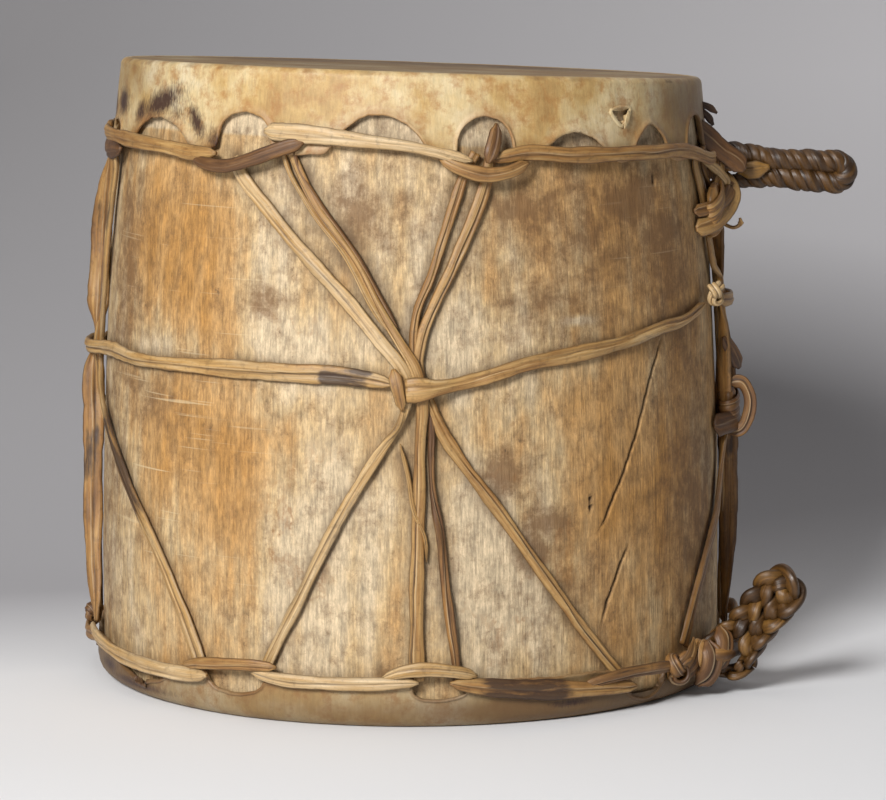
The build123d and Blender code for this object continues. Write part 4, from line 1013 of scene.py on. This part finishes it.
handles = {
    "upper": {"angle": 90.0, "height": 185.5145, "foot": 0.0, "rise": -4.0, "reach": 47.0, "rope": 6.6,
              "eye": 5.6, "pinch": 3.5, "strands": 2, "strand": (7.2, 4.8), "offset": 2.1, "turns": 8,
              "slim": 0.60, "tint": 0.46},
    "lower": {"angle": 64.0, "height": 15.0, "foot": 2.0, "rise": 52.0, "reach": 39.5, "rope": 7.4,
              "eye": 7.6, "pinch": 4.4, "strands": 3, "strand": (5.8, 4.6), "offset": 2.6, "turns": 4,
              "slim": 0.62, "tint": 0.50},
}
hangStyle = {"gap": 0.7, "whipGap": 0.3, "whipHalf": 1.1}  # as in the frame
for side, h in handles.items():
    loopRadius = h["eye"] / 2 + h["rope"]
    bendRadius = h["eye"] / 2 + h["rope"] / 2
    out, axis = radial(h["angle"]), around(h["angle"])
    bar = onWall(h["angle"], h["height"], 0) + out * (h["foot"] + hangStyle["gap"] + loopRadius)
    lead = out * math.cos(math.radians(h["rise"])) + np.array([0, 0, math.sin(math.radians(h["rise"]))])
    cross = np.cross(axis, lead)
    straight = h["reach"] - loopRadius
    pinch = h["pinch"]
    corner = []
    for turn in np.radians(np.linspace(90, 270, 9)):
        corner.append((bendRadius * math.cos(turn), bendRadius * math.sin(turn)))
    corner += [(straight * 0.13, -0.6 * bendRadius - 0.4 * pinch), (straight * 0.30, -pinch),
               (straight * 0.9, -pinch)]
    for turn in np.radians(np.linspace(-70, 70, 7)):
        corner.append((straight + bendRadius * (0.25 + 0.55 * math.cos(turn)), pinch * math.sin(turn)))
    corner += [(straight * 0.9, pinch), (straight * 0.30, pinch),
               (straight * 0.13, 0.6 * bendRadius + 0.4 * pinch)]
    ring = np.array(corner + corner[:1])
    marks = distances(ring)
    flat = bendThrough(marks, ring, np.linspace(0, marks[-1], 260, endpoint=False))
    centres = bar + flat[:, :1] * lead + flat[:, 1:] * cross
    slim = h["slim"] + (1 - h["slim"]) * smoothstep(1.0, 12.0, flat[:, 0])
    strips = ropeLoop(centres, axis, h, slim, 300 if side == "upper" else 320)
    if side == "upper":  # a golden leaf lies along its start, the nearer end of the strands
        places = ((2.5, 1.8, 5.4), (8, 1.0, 5.8), (14, -0.6, 5.4))
        leaf = [bar + lead * d + cross * c - axis * near for d, c, near in places]
        strips.append(freeStrip(leaf, -axis, 6.4, 3.2, 306, tint=0.98, startTip=4.0, endTip=5.0,
                                lapDepth=0.2))
    makePiece(f"{side}_plait", strips, plaitRawhide, f"{side}_loop", (f"{side}_handle",))
    # hanger thong, worn thinner where the loop turns on it, and its two whippings
    hangerRadius = h["eye"] / 2 - 0.1
    whipRadius = hangerRadius + hangStyle["whipGap"] + hangStyle["whipHalf"]
    leg = h["rope"] / 2 + hangStyle["gap"] + whipRadius + hangStyle["whipHalf"]
    legLength = loopRadius + hangStyle["gap"] - hangStyle["whipGap"]
    ring = np.array([(-leg, -legLength), (-leg, -legLength * 0.5), (-leg * 0.92, -1.6), (-leg * 0.55, 0),
                     (0, 0.15), (leg * 0.55, 0), (leg * 0.92, -1.6), (leg, -legLength * 0.5),
                     (leg, -legLength)])
    marks = distances(ring)
    flat = bendThrough(marks, ring, np.linspace(0, marks[-1], 60))
    line = bar + flat[:, :1] * axis + flat[:, 1:] * out
    worn = hangerRadius * (0.82 + 0.13 * smoothstep(2.0, 6.0, np.abs(flat[:, 0])))
    hanger = sweepStrip(line, np.broadcast_to(upright, line.shape), 2 * worn, 1.85 * worn, 0.0, 340,
                        {"tint": 0.35, "uneven": 0.06, "lapDepth": 0.25})
    makeThong(f"{side}_hanger_thong", [hanger], f"{side}_handle_hanger")
    for place, sign in (("front", -1), ("rear", 1)):
        centre = bar + axis * (sign * leg) - out * (legLength - 3.6)
        wind = windStrip(centre, out, axis * sign, whipRadius - 0.2, whipRadius - 0.2, 2.4, 2.4, 2.7, 1.7,
                         350 + sign, tint=0.5)
        makeThong(f"{side}_{place}_whipping_thong", [wind], f"{side}_handle_{place}_whipping")
print("handles twisted and plaited")


def lashing(angle, height, halfWide, halfThick, turns, pitch, width, lean, seed, tint):
    centre = onWall(angle, height, 1.2 + halfThick)
    axis = unit(upright + around(angle) * lean)
    wide = around(angle) - axis * (around(angle) @ axis)
    wound = windStrip(centre, axis, wide, halfWide, halfThick, turns, pitch, width, 1.7, seed, tint=tint,
                      startTip=4.0, endTip=4.0, lapDepth=0.3)
    reach = turns * pitch / 2 + 2.5
    held = freeStrip([centre - axis * reach, centre, centre + axis * reach], radial(angle),
                     2 * halfWide - 2.6, 2 * halfThick - 1.5, seed + 1, tint=0.42, startTip=2.0, endTip=2.0)
    return [wound, held]


# Lashing below the upper handle, with bands over it and a curled tail
lashStyle = {"angle": 76.5, "height": 171.5, "halfWide": 9.0, "halfThick": 3.1, "turns": 4.1, "pitch": 3.3,
             "width": 4.0, "lean": -0.45, "tint": 0.52,
             "tail": [(0, 0), (3, -3.2), (6.5, -4.2), (8.6, -2.6), (8.2, -0.6)]}
tailFrom = onWall(82, 168, 4)
tailLine = [tailFrom + radial(82) * r + np.array([0, 0, z]) for r, z in lashStyle.pop("tail")]
lashTail = freeStrip(tailLine, around(82) * 0.3 + upright, 3.2, 1.3, 402, tint=0.6, endTip=3.0)
lashBands = [
    (6.4, 0.62, [(68.8, 165.4, 0.8), (71.5, 166.2, 3.6), (75.5, 168.6, 7.0), (79.5, 172.6, 9.4),
                 (82.6, 177.4, 10.2), (85.6, 180.6, 8.0), (88.0, 182.2, 4.0)]),
    (5.0, 0.40, [(68.4, 171.6, 0.8), (71.2, 172.2, 3.6), (75.5, 173.6, 6.8), (79.5, 176.0, 8.8),
                 (82.6, 178.6, 9.2), (85.4, 177.0, 6.6), (87.2, 174.8, 3.0)]),
    (3.4, 0.78, [(70.4, 192.0, 2.6), (74.0, 188.0, 5.0), (78.0, 184.0, 7.4), (81.2, 180.6, 8.4),
                 (83.8, 176.8, 6.4)]),
    (2.8, 0.50, [(79.8, 184.4, 7.0), (77.2, 180.0, 5.6), (75.6, 176.0, 5.2)]),
]  # width, tint and places
bands = [wallStrip(route, (0.3, -1.0, 0.1), wide, 1.9, 404 + i, tint=tint, startTip=2.0, endTip=3.0)
         for i, (wide, tint, route) in enumerate(lashBands)]
makeThong("upper_lashing_thong", lashing(**lashStyle, seed=400) + [lashTail] + bands, "upper_lashing")

# Tie that draws the right laces together, with a loop of it standing out
tieStyle = {"angle": 83.2, "height": 98.0, "halfWide": 7.6, "halfThick": 3.4, "turns": 2.3, "pitch": 4.4,
            "width": 4.9, "lean": -0.1, "tint": 0.30}
tieLoop = [(81.5, 107, 5.0), (81.5, 107.4, 9.6), (81.5, 103, 12.4), (81.5, 96, 12.2), (81.5, 90, 9),
           (81.5, 88.5, 4)]
standing = wallStrip(tieLoop, around(81.5) * -1.0, 5.0, 1.8, 412, tint=0.36, startTip=3.0, endTip=4.0)
tieBand = wallStrip([(75.5, 92.5, 0.8), (78.5, 93.0, 4.6), (82.0, 93.6, 7.6), (85.5, 94.6, 7.8)],
                    (0.4, -1.0, 0.1), 8.0, 2.0, 414, tint=0.16, startTip=2.0, endTip=2.0, lapDepth=0.2)
tieFlap = wallStrip([(80.0, 124, 4.0), (82.0, 118, 7.0), (83.5, 112, 9.0)], (0.5, -1.0, 0.2), 5.4, 1.8, 416,
                    tint=0.14, startTip=3.0, endTip=3.0, lapDepth=0.2)
makeThong("tension_tie_thong", lashing(**tieStyle, seed=410) + [standing, tieBand, tieFlap], "tension_tie")


def knotStrip(centre, out, size, width, thick, seed, tint):  # overhand knot drawn tight
    t = np.linspace(0, 2 * np.pi, 150)
    side = unit(np.cross(upright, out))
    x = np.sin(t) + 2 * np.sin(2 * t)
    y = np.cos(t) - 2 * np.cos(2 * t)
    z = -np.sin(3 * t)
    line = centre + size * (x[:, None] * side + y[:, None] * upright + 0.9 * z[:, None] * out)
    outs = unit(line - centre + out * size * 0.5)
    return sweepStrip(line, outs, width, thick, 0.0, seed, {"tint": tint})


waistKnot = knotStrip(onWall(71.4, 142.2, 5.4), radial(71.4), 1.3, 3.6, 2.4, 420, 0.9)
makeThong("waist_knot_thong", [waistKnot], "waist_knot")
footCentre = np.mean(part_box("foot_knot"), axis=0) * 1000
footKnot = knotStrip(footCentre, radial(274.0), 1.05, 3.2, 2.2, 430, 0.30)
makeThong("foot_knot_thong", [footKnot], "foot_knot")

# Loose ends of the hide: a hanging strip beside the upper handle, and a fibrous root with two leaves below
hangLine = [(103.6, -23.5, 200.4), (108.5, -19.8, 196.4), (114, -17.8, 191.4), (119, -16.2, 187.6),
            (121.6, -15.2, 184.6)]
hangingStrip = freeStrip(hangLine, (0.25, -1.0, 0.2), 8.2, 1.6, 440, tint=0.24, endTip=3.0, lapDepth=0.25)
frays = [[(105.4, -14.2, 208.6), (108.6, -13.6, 207.4), (111.6, -13.2, 205.2)],
         [(105.8, -14.2, 206.0), (108.4, -13.6, 203.8), (110.2, -13.2, 200.8)]]
frayed = [freeStrip(line, (0.2, -1.0, 0.4), 3.4, 1.2, 442 + i, tint=0.05, endTip=3.0, uneven=0.5,
                    lapDepth=0.2)
          for i, line in enumerate(frays)]
makeThong("hanging_hide_strip", [hangingStrip] + frayed)
rootKnot = knotStrip(onWall(53, 12.6, 5.6), radial(50.0), 1.75, 5.0, 3.2, 450, 0.36)
rootLobes = [wallStrip([(57.6, 4.6, 7.0), (57.8, 9, 11.5), (58.2, 15, 12.5), (58.8, 20.5, 9.5)],
                       (0.4, -1.0, 0.2), 8.6, 3.6, 454, tint=0.26, startTip=4.0, endTip=4.0),
             wallStrip([(60.4, 9.0, 11.0), (60.4, 14, 14.0), (61.0, 20, 14.0), (61.8, 24.5, 11.0)],
                       (0.5, -1.0, 0.2), 7.4, 3.4, 456, tint=0.30, startTip=4.0, endTip=4.0)]
rootLeaves = [layStrip([(51, 9.5, 3.6, 0.6), (53, 13, 6.5), (55, 18, 7.4), (56, 22.5, 6.6, 0.6)], 6.6, 1.5,
                       451, tint=0.45, startTip=3.0, endTip=4.0, lapDepth=0.2),
              layStrip([(54, 8, 3.6, 0.6), (56, 11, 6.8), (57.6, 15.6, 7.6), (58.4, 20, 7.0, 0.6)], 6.4,
                       1.5, 452, tint=0.25, startTip=3.0, endTip=4.0, lapDepth=0.2)]
makeThong("lower_root", [rootKnot] + rootLobes + rootLeaves)
tornLip = layStrip([(40.4, 209.8), (43, 210.9), (45.8, 210.1), (45, 207.4), (43.3, 204.3), (41.6, 206.7),
                    (40.4, 209.8)],
                   1.3, 0.7, 460, lift=1.8, sway=0.2, lapDepth=0.1)
tornFlap = layStrip([(45.0, 209.2), (44.2, 206.2), (43.4, 203.4)], 2.4, 0.7, 461, lift=2.7, endTip=3.0,
                    lapDepth=0.1)
makePiece("torn_lip", [tornLip, tornFlap], headRawhide, "drum", ())
print("lashings, knots and loose ends tied")

# Floor and backdrop: one pale sweep, greyer up the back, with painted shade to the left and painted light to
# the right on the backdrop
floorMaterial, tree = newMaterial("matt studio paper")
where = addNode(tree, "TexCoord")
split = addNode(tree, "SeparateXYZ", None, {0: where.outputs["Object"]})
# greyer further back, and darker to the left as painted shade
leftward = addNode(tree, "Math", {"operation": "MULTIPLY_ADD", 1: -0.32},
                   {0: split.outputs[0], 2: split.outputs[1]})
fade = addNode(tree, "MapRange", {"From Min": 0.02, "From Max": 0.50}, {"Value": leftward})
paper = addNode(tree, "ValToRGB", None, {0: fade},
                [(0.0, "#E2E2E3"), (0.35, "#A9A7A9"), (1.0, "#858384")])
# painted light: above the floor the backdrop is made brighter to the right and darker to the left
rightward = addNode(tree, "MapRange", {"From Min": -0.22, "From Max": 0.22, "To Min": 0.84, "To Max": 1.36},
                    {"Value": split.outputs[0]})
upward = addNode(tree, "MapRange", {"From Min": 0.05, "From Max": 0.20}, {"Value": split.outputs[2]})
paperWithPaintedLight = addNode(tree, "Mix", {"data_type": "RGBA", "blend_type": "MULTIPLY"},
               {0: upward, 6: paper, 7: rightward})
shader = addNode(tree, "BsdfPrincipled", {"Roughness": 0.9}, {"Base Color": paperWithPaintedLight})
# its back is open, so that the drum's far side can be looked at
back = addNode(tree, "NewGeometry")
seen = addNode(tree, "LightPath")
fromBack = addNode(tree, "Math", {"operation": "MULTIPLY"},
                   {0: back.outputs["Backfacing"], 1: seen.outputs["Is Camera Ray"]})
clear = addNode(tree, "BsdfTransparent")
paperOrClear = addNode(tree, "MixShader", None, {0: fromBack, 1: shader, 2: clear})
addNode(tree, "OutputMaterial", None, {"Surface": paperOrClear})
plainMaterial, tree = newMaterial("plain studio floor")
shader = addNode(tree, "BsdfPrincipled", {"Base Color": "#D6D6D8", "Roughness": 0.9})
addNode(tree, "OutputMaterial", None, {"Surface": shader})
studio = {"floorEnd": 0.14, "curve": 0.32, "wide": 6.0, "near": -6.0, "tall": 2.5, "floor": 8.0}
profile = [(studio["near"], 0.0), (studio["floorEnd"], 0.0)]
for turn in np.linspace(0, math.pi / 2, 24)[1:]:
    profile.append((studio["floorEnd"] + studio["curve"] * math.sin(turn),
                    studio["curve"] * (1 - math.cos(turn))))
profile.append((studio["floorEnd"] + studio["curve"], studio["tall"]))
sweepVerts = [(x, y, z) for y, z in profile for x in (-studio["wide"], studio["wide"])]
sweepFaces = [(2 * i, 2 * i + 1, 2 * i + 3, 2 * i + 2) for i in range(len(profile) - 1)]
far = studio["floor"]
floorVerts = [(-far, -far, -0.0005), (far, -far, -0.0005), (far, far, -0.0005), (-far, far, -0.0005)]
for name, verts, faces, material in (("studio_sweep", sweepVerts, sweepFaces, floorMaterial),
                                     ("studio_floor", floorVerts, [(0, 1, 2, 3)], plainMaterial)):
    mesh = bpy.data.meshes.new(name)
    mesh.from_pydata(verts, [], faces)
    mesh.polygons.foreach_set("use_smooth", np.ones(len(mesh.polygons), bool))
    mesh.materials.append(material)
    stage = bpy.data.objects.new(name, mesh)
    stage.visible_shadow = False
    bpy.context.scene.collection.objects.link(stage)

# Soft light from the left front, a weak fill, and a dim room
lamps = [("window", (-0.71, -1.58, 1.0), 0.55, 46.0), ("fill", (1.6, -1.6, 0.9), 1.4, 1.6),
         ("overhead", (-0.2, -0.2, 1.9), 1.2, 5.0)]
drumMiddle = Vector((0, 0, 0.11))
for name, place, size, power in lamps:
    lamp = bpy.data.lights.new(name, "AREA")
    lamp.size = size
    lamp.energy = power
    light = bpy.data.objects.new(name, lamp)
    light.location = place
    light.rotation_euler = (drumMiddle - light.location).to_track_quat("-Z", "Y").to_euler()
    bpy.context.scene.collection.objects.link(light)
world = bpy.data.worlds.new("dim room")
bpy.context.scene.world = world
world.use_nodes = True
world.node_tree.nodes["Background"].inputs["Color"].default_value = linear("#C8C8CA")
world.node_tree.nodes["Background"].inputs["Strength"].default_value = 0.12

view = {"place": (0.012, -1.328, 0.2778), "down": 7.70, "lens": 146.8,
        "sensor": 36.0}  # fitted to the photo
cameraData = bpy.data.cameras.new("front view")
cameraData.sensor_width = view["sensor"]
cameraData.lens = view["lens"]
camera = bpy.data.objects.new("front view", cameraData)
camera.location = view["place"]
camera.rotation_euler = (math.radians(90 - view["down"]), 0, 0)
bpy.context.scene.collection.objects.link(camera)
bpy.context.scene.camera = camera
bpy.context.scene.view_settings.view_transform = "Standard"
print("studio set")
